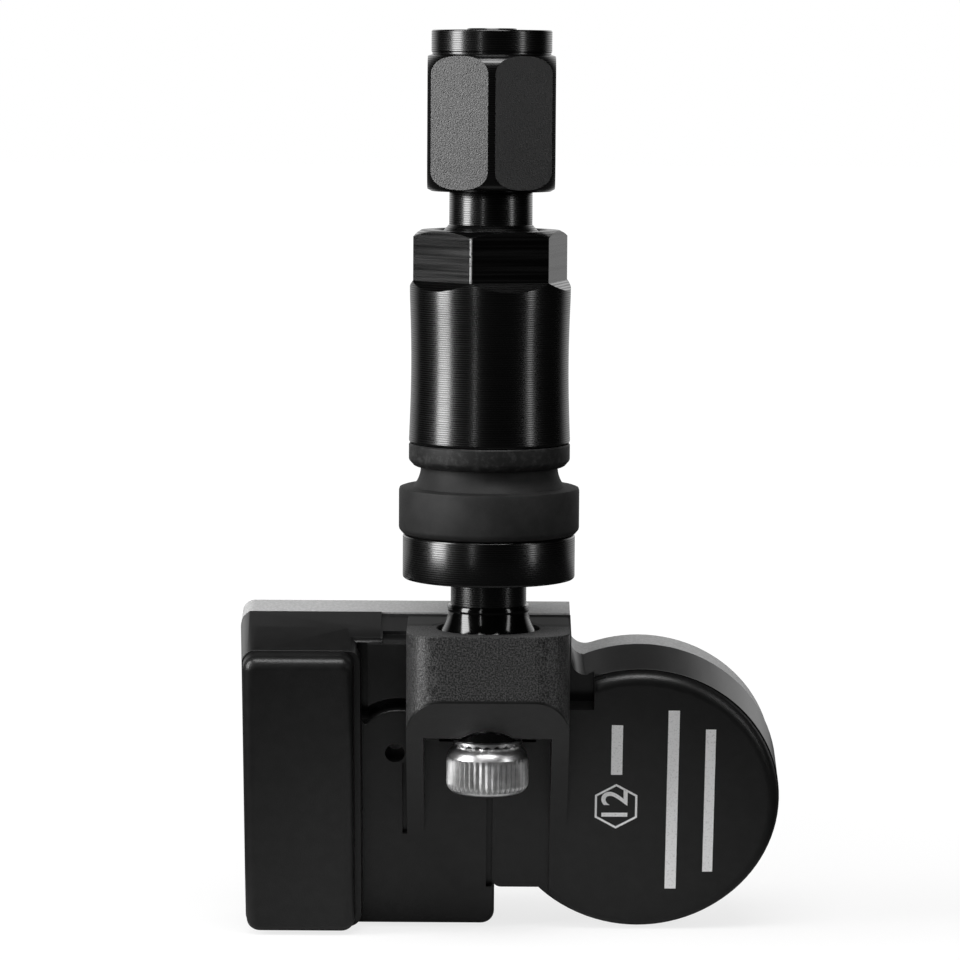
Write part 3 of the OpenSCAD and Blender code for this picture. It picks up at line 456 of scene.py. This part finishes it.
def mottled_plastic():
    """Harder than rubber, with pale rub marks."""
    material, shader, place = finish_of("washer_plastic", Specular_IOR_Level=0.4)
    rubs = grain(place, 1.6, 5.0, 0.7)
    specks = grain(place, 8.0, 2.0, 0.6)
    place.link(shader.inputs["Base Color"], mixed(rubs.above(0.45, 0.7), grey(22), grey(50)))
    place.link(shader.inputs["Roughness"], specks * 0.2 + 0.45)
    bump(shader, specks, 0.012)
    return material


rubber = dull_rubber()
washer_plastic = mottled_plastic()
print("rubber and plastic ready")

# %% Seal and washer
flare = [(5.95 + 0.65 * (1 - i / 8) ** 2.2, 0.02 + 1.78 * i / 8) for i in range(9)]
seal = spun([(4.72, -4.1), (7.3, -4.1), (7.55, -4.0), (7.8, -3.7), (7.85, -3.5), (7.85, -0.3), (7.78, -0.08),
             (7.55, 0.0)] + flare + [(4.72, 1.8)])
piece("seal_ring", seal, "valve", rubber, stands_for=["rubber_seal"])
washer = spun([(4.76, 1.82), (6.45, 1.82), (6.6, 1.9), (6.95, 2.3), (7.0, 2.45), (7.0, 3.68), (6.9, 3.79),
               (4.76, 3.79)])
piece("waist_washer", washer, "nut_carrier", washer_plastic, stands_for=["nut_washer"])

# %% [markdown]
# ## Cutting flats on a turned blank
# The nut's hexagon and the cap's six faces are milled on round bar. Here the blank is spun first, and six
# planes slice it. The arcs where a flat meets the turned bevel come out by themselves.

# %% The milling helper
def mill_flats(bm, apothem_mm, turn_deg, count=6):
    """Slices flats round the Z axis and gives their faces the second material."""
    for i in range(count):
        a = math.radians(turn_deg + 360 * i / count)
        way = Vector((math.cos(a), math.sin(a), 0))
        cut = bmesh.ops.bisect_plane(bm, geom=bm.verts[:] + bm.edges[:] + bm.faces[:], dist=1e-8,
                                     plane_co=way * apothem_mm * MM, plane_no=way, clear_outer=True)
        bmesh.ops.contextual_create(bm, geom=picked(cut["geom_cut"], bmesh.types.BMEdge))
    bmesh.ops.recalc_face_normals(bm, faces=bm.faces)
    for face in bm.faces:
        middle = face.calc_center_median().xy.length / MM
        if middle < apothem_mm * 1.08 and abs(face.normal.z) < 0.1:
            a = math.degrees(math.atan2(face.normal.y, face.normal.x)) - turn_deg
            if abs((a + 30) % 60 - 30) < 0.5 and middle > apothem_mm * 0.97:
                face.material_index = 1
    print("flats:", sum(face.material_index for face in bm.faces))


# %% The sleeve nut
nut_turn = 15.7
ledge_z = 17.95
ledge_slope = 0.8
waist_depth = 0.17
hexagon = spun([(4.75, 17.2), (7.0, 17.2), (7.0, 21.72), (6.0, 22.27), (5.6, 22.3), (4.95, 22.3), (4.75, 22.1)])
mill_flats(hexagon, 6.0, nut_turn + 30)
soften(hexagon, 0.07)
sleeve = spun([(4.75, 3.85), (6.75, 3.82)] + arc((6.75, 4.07), 0.25, -90, 0, 3)
              + [(7.0 - waist_depth * math.sin(math.pi * i / 14), 4.1 + 13.2 * i / 14) for i in range(1, 14)]
              + [(6.98, 17.4), (6.98, 18.1), (4.75, 18.1)])
for i in range(6):
    a = math.radians(nut_turn + 30 + 60 * i)
    way = Vector((math.cos(a), math.sin(a), 0))
    slope = (way * ledge_slope + Vector((0, 0, 1))).normalized()
    cut = bmesh.ops.bisect_plane(sleeve, geom=sleeve.verts[:] + sleeve.edges[:] + sleeve.faces[:], dist=1e-8,
                                 plane_co=(way * 6.0 + Vector((0, 0, ledge_z))) * MM, plane_no=slope,
                                 clear_outer=True)
    bmesh.ops.contextual_create(sleeve, geom=picked(cut["geom_cut"], bmesh.types.BMEdge))
bmesh.ops.recalc_face_normals(sleeve, faces=sleeve.faces)
join_into(hexagon, sleeve)
piece("long_nut", hexagon, "nut", turned, milled, stands_for=["sleeve_nut"], flat_faces=True)

# %% [markdown]
# ## The cap
# The cap is a hexagon with turned corners, so a narrow glossy band is left between two blasted faces. The
# faces are rounded at their ends because the blank's ends are rounded. The round crown with its low disc is
# turned apart and joined to the same mesh, since both are one piece of metal on the real cap.

# %% Cap
cap_low, cap_high = 25.62, 37.4
cap_corner = 6.18
end_width, end_height = 1.25, 1.75
shoulder = [(cap_corner - end_width + end_width * c, end_height * (1 - h)) for c, h in arc((0, 0), 1, 0, 66, 9)]
cap_blank = spun(
    [(3.95, cap_low + 0.3), (4.2, cap_low), (5.15, cap_low)]
    + [(r, cap_low + h) for r, h in reversed(shoulder)] + [(r, cap_high - h) for r, h in shoulder]
    + [(5.0, cap_high), (3.95, cap_high)], steps=144)
mill_flats(cap_blank, 5.5, 0)
soften(cap_blank, 0.26, 25, 4)
rim_turn = 17  # how far the blasting reaches round the edge of a face, in degrees
for face in cap_blank.faces:
    turned_by = (math.degrees(math.atan2(face.normal.y, face.normal.x)) + 30) % 60 - 30
    outer = face.calc_center_median().xy.length > 5.2 * MM
    if outer and abs(turned_by) < rim_turn and abs(face.normal.z) < 0.3:
        face.material_index = 1
crown = spun([(3.95, 37.1), (5.12, 37.1), (5.12, 37.5), (5.2, 37.6)] + arc((5.05, 39.28), 0.15, 0, 90, 4)
             + [(2.2, 39.43), (2.1, 39.58), (0.0, 39.6), (0.0, 36.8), (3.95, 36.8)])
join_into(cap_blank, crown)
piece("hex_cap", cap_blank, "cap", turned, blasted, stands_for=["valve_cap"], flat_faces=True)

# %% [markdown]
# ## Bright pieces under the bracket
# The clamp screw and its toothed washer are nickel plated. A knurl could be left to the bump of a finish,
# but its ridges show on the outline of the head. So it is made on the lathe mesh: every other row of
# points round the head is drawn in a little, and the rounded ends stay smooth.

# %% Nickel
def bright_nickel():
    """Plated metal, with painted shade in the valleys of the knurl."""
    material, shader, place = finish_of("bright_nickel", Metallic=1.0)
    soil = grain(place, 1.5, 3.0, 0.6)
    specks = grain(place, 6.0, 2.0)
    x, y, z = parts_of(place)
    depth = 1.0 - ((x * x + y * y) ** 0.5).above(3.43, 3.5)
    knurl_valley_shade = depth * z.above(-26.7, -26.4) * (1.0 - z.above(-24.0, -23.8))
    metal = mixed(soil.above(0.3, 0.7), grey(235), grey(252))
    # The valleys of the knurl are mixed halfway to grey 120: painted shade.
    place.link(shader.inputs["Base Color"], mixed(knurl_valley_shade * 0.5, metal, grey(120)))
    place.link(shader.inputs["Roughness"], soil * 0.12 + 0.3 - z.above(-24.2, -23.9) * 0.04)
    bump(shader, specks, 0.001)
    return material


nickel = bright_nickel()
print("nickel ready")

# %% Clamp screw
head_section = ([(0.0, -24.9), (1.9, -24.9), (1.9, -26.82), (2.0, -26.9), (2.5, -26.9)]
                + arc((2.7, -26.0), 0.9, -80, 0, 8) + [(3.6, -24.1), (3.55, -23.75), (3.38, -23.3),
                                                        (3.05, -22.92), (2.75, -22.74), (2.0, -22.72),
                                                        (2.0, -12.3), (1.6, -11.82), (0.0, -11.8)])
ridges = 44
head = spun(head_section, steps=ridges * 2)
valleys = [v for v in head.verts if -26.5 * MM < v.co.z < -24.0 * MM and v.co.xy.length > 3.0 * MM
           and round(math.degrees(math.atan2(v.co.y, v.co.x)) / (180 / ridges)) % 2]
bmesh.ops.scale(head, vec=(0.955, 0.955, 1), verts=valleys)
socket = spun([(1.732, -26.84), (2.3, -26.84), (2.3, -24.8), (1.732, -24.8)], steps=6)
join_into(head, socket)
piece("knurled_screw", head, "screw", nickel, smooth=28, stands_for=["clamp_screw"])

# %% Toothed washer
teeth = 22
ring = spun([(2.05, -22.7), (2.9, -22.7), (3.05, -22.64), (3.05, -22.3), (2.95, -22.21), (2.05, -22.21)],
            steps=teeth * 2)
gaps = [v for v in ring.verts if v.co.z < -22.6 * MM and v.co.xy.length > 2.7 * MM
        and round(math.degrees(math.atan2(v.co.y, v.co.x)) / (180 / teeth)) % 2]
bmesh.ops.translate(ring, vec=(0, 0, 0.2 * MM), verts=gaps)
piece("toothed_washer", ring, "screw_carrier", nickel, smooth=25, stands_for=["lock_washer"])

# %% [markdown]
# ## The moulded housing
# The housing is one injection moulding with many small walls, and the CAD solid already has them all. A
# copy of its mesh is merged and its flat faces are joined, and then its sharp edges are rounded like those
# of a real moulding. The front of the left box, the round part and the bracket have a grain. The walls
# behind the parting line are smooth. The bracket's front also gets light specks painted into the black, a
# painted highlight that stands for the sparkle of its grain, and its top is the dullest place, so both get a
# mask by their place in the frame. The housing leans to the valve, so places on it are measured in a frame
# of its own, and one matrix turns them into the valve's.

# %% Housing frame
lean = math.radians(14.6)
housing_origin = (0, 1.9, -13.7)
to_valve = Matrix.Translation([c * MM for c in housing_origin]) @ Matrix.Rotation(lean, 4, "X")
to_housing = to_valve.inverted()


def merged_copy(node):
    """The CAD node's mesh as a bmesh, with its loose triangles joined."""
    bm = bmesh.new()
    bm.from_mesh(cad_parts[node].data)
    bmesh.ops.remove_doubles(bm, verts=bm.verts, dist=2e-6)
    bmesh.ops.dissolve_limit(bm, angle_limit=math.radians(0.6), use_dissolve_boundaries=False,
                             verts=bm.verts, edges=bm.edges)
    return bm


def housing_place(place):
    """The coordinates of a finish turned into the housing's own frame, in millimetres."""
    shifted = place.node("ShaderNodeVectorMath", {"operation": "SUBTRACT"}, i0=place, i1=housing_origin)
    return shifted.node("ShaderNodeVectorRotate", {"rotation_type": "X_AXIS"}, Vector=shifted, Angle=-lean)


# %% Housing plastic
def housing_plastic():
    """Black plastic with a grain in front, and light specks painted on the bracket as the sparkle of its grain.
    """
    material, shader, place = finish_of("moulded_plastic", Specular_IOR_Level=0.48)
    x, y = parts_of(housing_place(place))[:2]
    fine = grain(place, 7.0, 3.0, 0.65)
    coarse = grain(place, 0.9, 3.0, 0.5)
    # The walls of the left box and all behind the parting line are smooth.
    box_side = (1.0 - x.above(-11.9, -11.7)) * y.above(-2.2, -2.0)
    front = (1.0 - y.above(0.55, 0.75)) * (1.0 - box_side)
    # The light specks are a painted highlight, the sparkle of the grain, on the bracket above the sloping edge
    # of its opening, and its top plane is dull.
    valve_y, valve_z = parts_of(place)[1:]
    bracket = (1.0 - y.above(-0.9, -0.7)) * x.above(-9.0, -8.5)
    bracket_grain_and_sparkle = bracket * (valve_z + 18.2 + (valve_y + 6.0) * 1.08).above(0.1, 0.35)
    on_top = x.above(-9.0, -8.5) * valve_z.above(-12.6, -12.45)
    plain = mixed(coarse.above(0.3, 0.8) * 0.5, grey(18), grey(28))
    # The light specks of grey 82 on the bracket's front are painted highlights that stand for the sparkle of
    # its grain.
    place.link(shader.inputs["Base Color"], mixed(bracket_grain_and_sparkle * fine.above(0.38, 0.66), plain, grey(82)))
    place.link(shader.inputs["Roughness"], 0.29 + front * (fine * 0.14) + on_top * 0.4 - bracket_grain_and_sparkle * 0.04)
    bump(shader, fine * (front * 0.5 + bracket_grain_and_sparkle * 0.4 + 0.1), 0.025)
    return material


plastic = housing_plastic()
print("moulded plastic ready")

# %% Edges of the moulding
shell = merged_copy("housing")
boss_x, boss_z = -7.85, -10.85
groove_inner, groove_outer = 3.9, 5.3
groove_y, groove_reach = -0.2, 0.25


def soft_groove(bm, width_mm):
    """Rounds the long edges of the arched groove over the port boss more than the other edges."""
    found = []
    for e in bm.edges:
        a, b = (to_housing @ v.co / MM for v in e.verts)
        reach = [math.hypot(p.x - boss_x, p.z - boss_z) for p in (a, b)]
        on_arc = (min(reach) > groove_inner and max(reach) < groove_outer
                  and abs(reach[0] - reach[1]) < 0.1 and min(a.z, b.z) > -10.8)
        in_face = max(abs(a.y - groove_y), abs(b.y - groove_y)) < groove_reach
        if on_arc and in_face and len(e.link_faces) == 2 and e.calc_face_angle(0) > 1.0:
            found.append(e)
    bmesh.ops.bevel(bm, geom=found, offset=width_mm * MM, offset_type="OFFSET", affect="EDGES", segments=4,
                    profile=0.5, material=-1, clamp_overlap=True)
    return len(found)


print("groove edges rounded:", soft_groove(shell, 0.25))
print("rounded", soften(shell, 0.09, 32, 2), "edges of the housing")
rim = spun([(4.5, -13.0), (5.1, -13.0), (5.1, -12.42), (4.56, -12.42), (4.5, -12.48)])
join_into(shell, rim)
piece("moulded_housing", shell, "sensor", plastic, smooth=40, stands_for=["housing"], flat_faces=True)

# %% [markdown]
# ## The print on the round face
# The round face carries a hexagon with the size of its key, and three plain bars. The ink is a thin raised
# film, so it is made as thin closed solids that lie on the face. The digits come from a text curve that is
# turned into a mesh and taken into the same bmesh.

# %% Print
face_y = -0.55
film = 0.02
bars = (  # the middle's X and Z, the width and the height of each bar
    (11.49, -10.34, 1.0, 4.8), (16.48, -15.2, 1.0, 17.4), (19.77, -15.25, 0.9, 13.9))
sign_x, sign_z = 11.49, -15.82
sign_r, sign_line = 2.18, 0.19
digit_size, digit_bold = 3.3, 0.03


def faces_at(verts):
    """The faces round some verts, each once and in a steady order."""
    return list(dict.fromkeys(f for v in verts for f in v.link_faces))


def film_from(bm, faces):
    """Gives flat faces in the housing's X and Z the thickness of the ink."""
    raised = bmesh.ops.extrude_face_region(bm, geom=faces)["geom"]
    bmesh.ops.translate(bm, vec=(0, -film * MM, 0), verts=picked(raised, bmesh.types.BMVert))


ink = bmesh.new()
upright = Matrix.Rotation(math.pi / 2, 4, "X")
for x_mid, z_mid, width, height in bars:
    place_of = Matrix.Translation(Vector((x_mid, face_y, z_mid)) * MM) @ upright
    made = bmesh.ops.create_grid(ink, x_segments=1, y_segments=1, size=0.5,
                                 matrix=place_of @ Matrix.Diagonal((width * MM, height * MM, 1, 1)))
    film_from(ink, faces_at(made["verts"]))
place_of = Matrix.Translation(Vector((sign_x, face_y, sign_z)) * MM) @ upright
made = bmesh.ops.create_circle(ink, segments=6, radius=sign_r * MM, cap_ends=True, matrix=place_of)
disc = faces_at(made["verts"])
outline = bmesh.ops.inset_region(ink, faces=disc, thickness=sign_line * MM, use_even_offset=True,
                                 use_boundary=True)["faces"]
bmesh.ops.delete(ink, geom=disc, context="FACES_ONLY")
film_from(ink, outline)
print("bars:", len(bars), "and the outline of the sign")

# %% The digits
number = bpy.data.curves.new("number", "FONT")
number.body = "12"
number.size = digit_size * MM
number.align_x = "CENTER"
number.align_y = "CENTER"
number.offset = digit_bold * MM
holder = bpy.data.objects.new("number_holder", number)
bpy.context.scene.collection.objects.link(holder)
bpy.context.view_layer.update()
digits = bpy.data.meshes.new_from_object(holder.evaluated_get(bpy.context.evaluated_depsgraph_get()))
bpy.data.objects.remove(holder)
digit_bm = bmesh.new()
digit_bm.from_mesh(digits)
bmesh.ops.remove_doubles(digit_bm, verts=digit_bm.verts, dist=1e-7)
bmesh.ops.transform(digit_bm, matrix=place_of @ Matrix.Rotation(math.pi / 2, 4, "Z"), verts=digit_bm.verts)
film_from(digit_bm, digit_bm.faces[:])
digit_bm.to_mesh(digits)
digit_bm.free()
ink.from_mesh(digits)
bmesh.ops.transform(ink, matrix=to_valve, verts=ink.verts)
bmesh.ops.recalc_face_normals(ink, faces=ink.faces)
print("print faces:", len(ink.faces))


# %% Ink
def print_ink():
    """Off-white ink that the grain below makes uneven."""
    material, shader, place = finish_of("print_ink", Specular_IOR_Level=0.4)
    cover_over = grain(place, 6.0, 3.0, 0.7)
    place.link(shader.inputs["Base Color"], mixed(cover_over.above(0.25, 0.5), grey(210), grey(250)))
    place.link(shader.inputs["Roughness"], cover_over * 0.2 + 0.4)
    bump(shader, cover_over, 0.004)
    return material


piece("face_print", ink, "sensor", print_ink(), smooth=30)

# %% [markdown]
# ## The back cover
# The grey cover is a plain slab. Its edge shows above the housing's top wall. The CAD solid has the right
# outline, so a copy of it gets the two rounded left corners and fine edges, which is quicker than drawing
# the outline again.

# %% Cover
def cover_grey():
    """Pale grey plastic with a fine grain."""
    material, shader, place = finish_of("cover_grey", Specular_IOR_Level=0.4)
    fine = grain(place, 4.0, 3.0, 0.6)
    place.link(shader.inputs["Base Color"], mixed(fine.above(0.3, 0.8), grey(164), grey(184)))
    place.link(shader.inputs["Roughness"], fine * 0.1 + 0.5)
    bump(shader, fine, 0.01)
    return material


print("cover grey ready")

# %% The slab
def round_corners(bm, side_mm, width_mm):
    """Rounds the two upright left corners, whose edges run through the housing's depth."""
    corners = []
    for e in bm.edges:
        a, b = (to_housing @ v.co / MM for v in e.verts)
        at_side = max(a.x, b.x) < side_mm + 0.7 and abs(a.y - b.y) > 0.8
        at_end = max(a.z, b.z) > -0.7 or min(a.z, b.z) < -27.0
        if at_side and at_end and len(e.link_faces) == 2 and e.calc_face_angle(0) > 1.0:
            corners.append(e)
    bmesh.ops.bevel(bm, geom=corners, offset=width_mm * MM, offset_type="OFFSET", affect="EDGES", segments=5,
                    profile=0.5, material=-1, clamp_overlap=True)
    return len(corners)


cover = merged_copy("back_cover")
print("corners rounded:", round_corners(cover, -22.1, 1.1))
soften(cover, 0.12, 32, 2)
piece("grey_cover", cover, "sensor", cover_grey(), smooth=40, stands_for=["back_cover"], flat_faces=True)

# %% [markdown]
# ## Finishes for the pieces that stay as CAD
# The valve core, the electronics, the cell and the coil sit inside, and their CAD solids are right as they
# are. Their meshes are left alone, and each gets a finish: one maker of speckled finishes serves them all,
# since only the two tones, the grain, the roughness and the metal differ.

# %% Inner finishes
def speckled(name, low, high, scale, roughness, metallic=0.0, depth_mm=0.005):
    """A finish between two tones in soft clouds."""
    material, shader, place = finish_of(name, Metallic=metallic)
    clouds = grain(place, scale, 4.0, 0.6)
    place.link(shader.inputs["Base Color"], mixed(clouds.above(0.3, 0.7), low, high))
    place.link(shader.inputs["Roughness"], clouds * 0.15 + (roughness - 0.07))
    bump(shader, clouds, depth_mm)
    return material


brass = speckled("core_brass", (0.55, 0.36, 0.12, 1), (0.72, 0.52, 0.22, 1), 2.0, 0.3, 1.0)
white_plastic = speckled("white_plastic", grey(205), grey(228), 3.0, 0.5)
spring_wire = speckled("spring_steel", grey(140), grey(180), 5.0, 0.3, 1.0)
black_oxide = speckled("black_oxide", grey(5), grey(10), 4.0, 0.12)
board_green = speckled("board_green", (0.01, 0.09, 0.03, 1), (0.015, 0.13, 0.05, 1), 2.0, 0.35)
cell_steel = speckled("cell_steel", grey(170), grey(200), 2.0, 0.3, 1.0)
tab_nickel = speckled("tab_nickel", grey(165), grey(185), 3.0, 0.35, 1.0)
chip_black = speckled("chip_black", grey(26), grey(38), 5.0, 0.55)
can_metal = speckled("can_metal", grey(190), grey(210), 3.0, 0.25, 1.0)
ceramic_tan = speckled("ceramic_tan", (0.35, 0.22, 0.11, 1), (0.42, 0.28, 0.15, 1), 5.0, 0.5)
ferrite = speckled("ferrite", grey(38), grey(55), 6.0, 0.6)
copper = speckled("copper_wire", (0.5, 0.18, 0.07, 1), (0.66, 0.27, 0.12, 1), 8.0, 0.3, 1.0, 0.02)
ring_red = speckled("cap_ring_rubber", (0.2, 0.03, 0.02, 1), (0.28, 0.05, 0.03, 1), 3.0, 0.6)
finishes = {
    "cap_seal": ring_red, "core_body": brass, "core_seal": white_plastic, "core_pin": brass,
    "core_cup": rubber, "core_spring": spring_wire, "saddle_washer": black_oxide,
    "circuit_board": board_green, "battery_cell": cell_steel, "battery_tab_front": tab_nickel,
    "battery_tab_back": tab_nickel, "pressure_sensor": chip_black, "sensor_gasket": rubber,
    "port_filter": white_plastic, "transmitter_chip": chip_black, "crystal": can_metal,
    "chip_capacitors": ceramic_tan, "antenna_strip": brass, "coil_core": ferrite, "coil_winding": copper,
}
for node, material in finishes.items():
    set_finish(node, material)
print(len(finishes), "CAD nodes finished")

# %% [markdown]
# ## Floor, lamps and background
# The background of the photograph is plain white. The floor and the world are white to the camera and to
# mirror rays from behind, and the lamps are narrow strips at the sides, as the streaks on the valve show.
# To other rays the paper is pale only close to the foot and dark further off, a painted pool of light,
# because the housing is dark in front and lit from just below. The floor keeps the object's shadow.

# %% Floor
floor_half = 3.0
floor_gap = 0.2
floor_bm = bmesh.new()
bmesh.ops.create_grid(floor_bm, x_segments=1, y_segments=1, size=floor_half)
bmesh.ops.translate(floor_bm, vec=(0, 0, cad_box[0][2] - floor_gap * MM), verts=floor_bm.verts)
floor_mesh = bpy.data.meshes.new("floor")
floor_bm.to_mesh(floor_mesh)
floor_bm.free()
floor = bpy.data.objects.new("floor", floor_mesh)
bpy.context.scene.collection.objects.link(floor)
print("floor at", round(cad_box[0][2] / MM - floor_gap, 2), "mm")

# %% Floor's finish
floor_material, floor_shader, floor_place = finish_of("floor_white", Roughness=0.9, Specular_IOR_Level=0.0)
seen = Term(floor_place.tree, floor_place.tree.nodes.new("ShaderNodeLightPath").outputs["Is Camera Ray"])
glow = seen.node("ShaderNodeEmission", {}, Color=(1, 1, 1, 1), Strength=1.04)
floor_x, floor_y = parts_of(floor_place)[:2]
from_foot = (floor_x * floor_x + floor_y * floor_y) ** 0.5
whiteness = 0.75 + 0.25 * from_foot.above(40.0, 130.0)
# Near the foot the paper is pale and further off dark: a painted pool of light, seen only by rays that do not
# come from the camera.
paper_light_pool = mixed(from_foot.above(8.0, 48.0), (0.4, 0.4, 0.4, 1), (0.03, 0.03, 0.03, 1))
seen.link(floor_shader.inputs["Base Color"], mixed(seen, paper_light_pool, (0.9, 0.9, 0.9, 1)))
mirrored = Term(floor_place.tree, seen.socket.node.outputs["Is Glossy Ray"])
behind = floor_y.above(100.0, 260.0) * (1.0 - abs(floor_x / floor_y).above(0.6, 1.6))
blend = seen.node("ShaderNodeMixShader", {}, i0=seen * whiteness + mirrored * behind * 0.5,
                  i1=Term(floor_place.tree, floor_shader.outputs[0]), i2=glow)
floor_place.tree.links.new(blend.socket, floor_place.tree.nodes["Material Output"].inputs["Surface"])
floor_mesh.materials.append(floor_material)
print("floor finished")

# %% World
world = bpy.data.worlds.new("studio")
bpy.context.scene.world = world
world.use_nodes = True
world_tree = world.node_tree
background = world_tree.nodes["Background"]
world_path = world_tree.nodes.new("ShaderNodeLightPath")
to_camera = Term(world_tree, world_path.outputs["Is Camera Ray"])
to_mirror = Term(world_tree, world_path.outputs["Is Glossy Ray"])
direction = Term(world_tree, world_tree.nodes.new("ShaderNodeTexCoord").outputs["Generated"])
way_y, way_z = parts_of(direction)[1:]
backdrop = way_y.above(0.5, 0.85) * (1.0 - abs(way_z).above(0.3, 0.65))
level = 0.25 * (1.0 - to_camera) * (1.0 - to_mirror) + to_mirror * (backdrop * 0.85 + 0.002) + to_camera
to_camera.link(background.inputs["Strength"], level)
background.inputs["Color"].default_value = (1, 1, 1, 1)
print("world ready")

# %% Lamps
def strip(name, centre_mm, width_mm, height_mm, watts):
    """A rectangular lamp that faces the origin."""
    lamp = bpy.data.lights.new(name, "AREA")
    lamp.shape = "RECTANGLE"
    lamp.size = width_mm * MM
    lamp.size_y = height_mm * MM
    lamp.energy = watts
    held = bpy.data.objects.new(name, lamp)
    held.location = Vector(centre_mm) * MM
    held.rotation_euler = (-held.location).to_track_quat("-Z", "Y").to_euler()
    bpy.context.scene.collection.objects.link(held)
    print(name, watts, "W")


strip("left_strip", (-327, -119, 60), 130, 420, 2.1)
strip("right_strip", (320, -185, 60), 50, 420, 0.26)
strip("front_strip", (-139, -343, 60), 9, 300, 0.06)
strip("top_lamp", (0, -190, 370), 300, 160, 1.1)

# %% Settings
bpy.context.scene.view_settings.view_transform = "Standard"
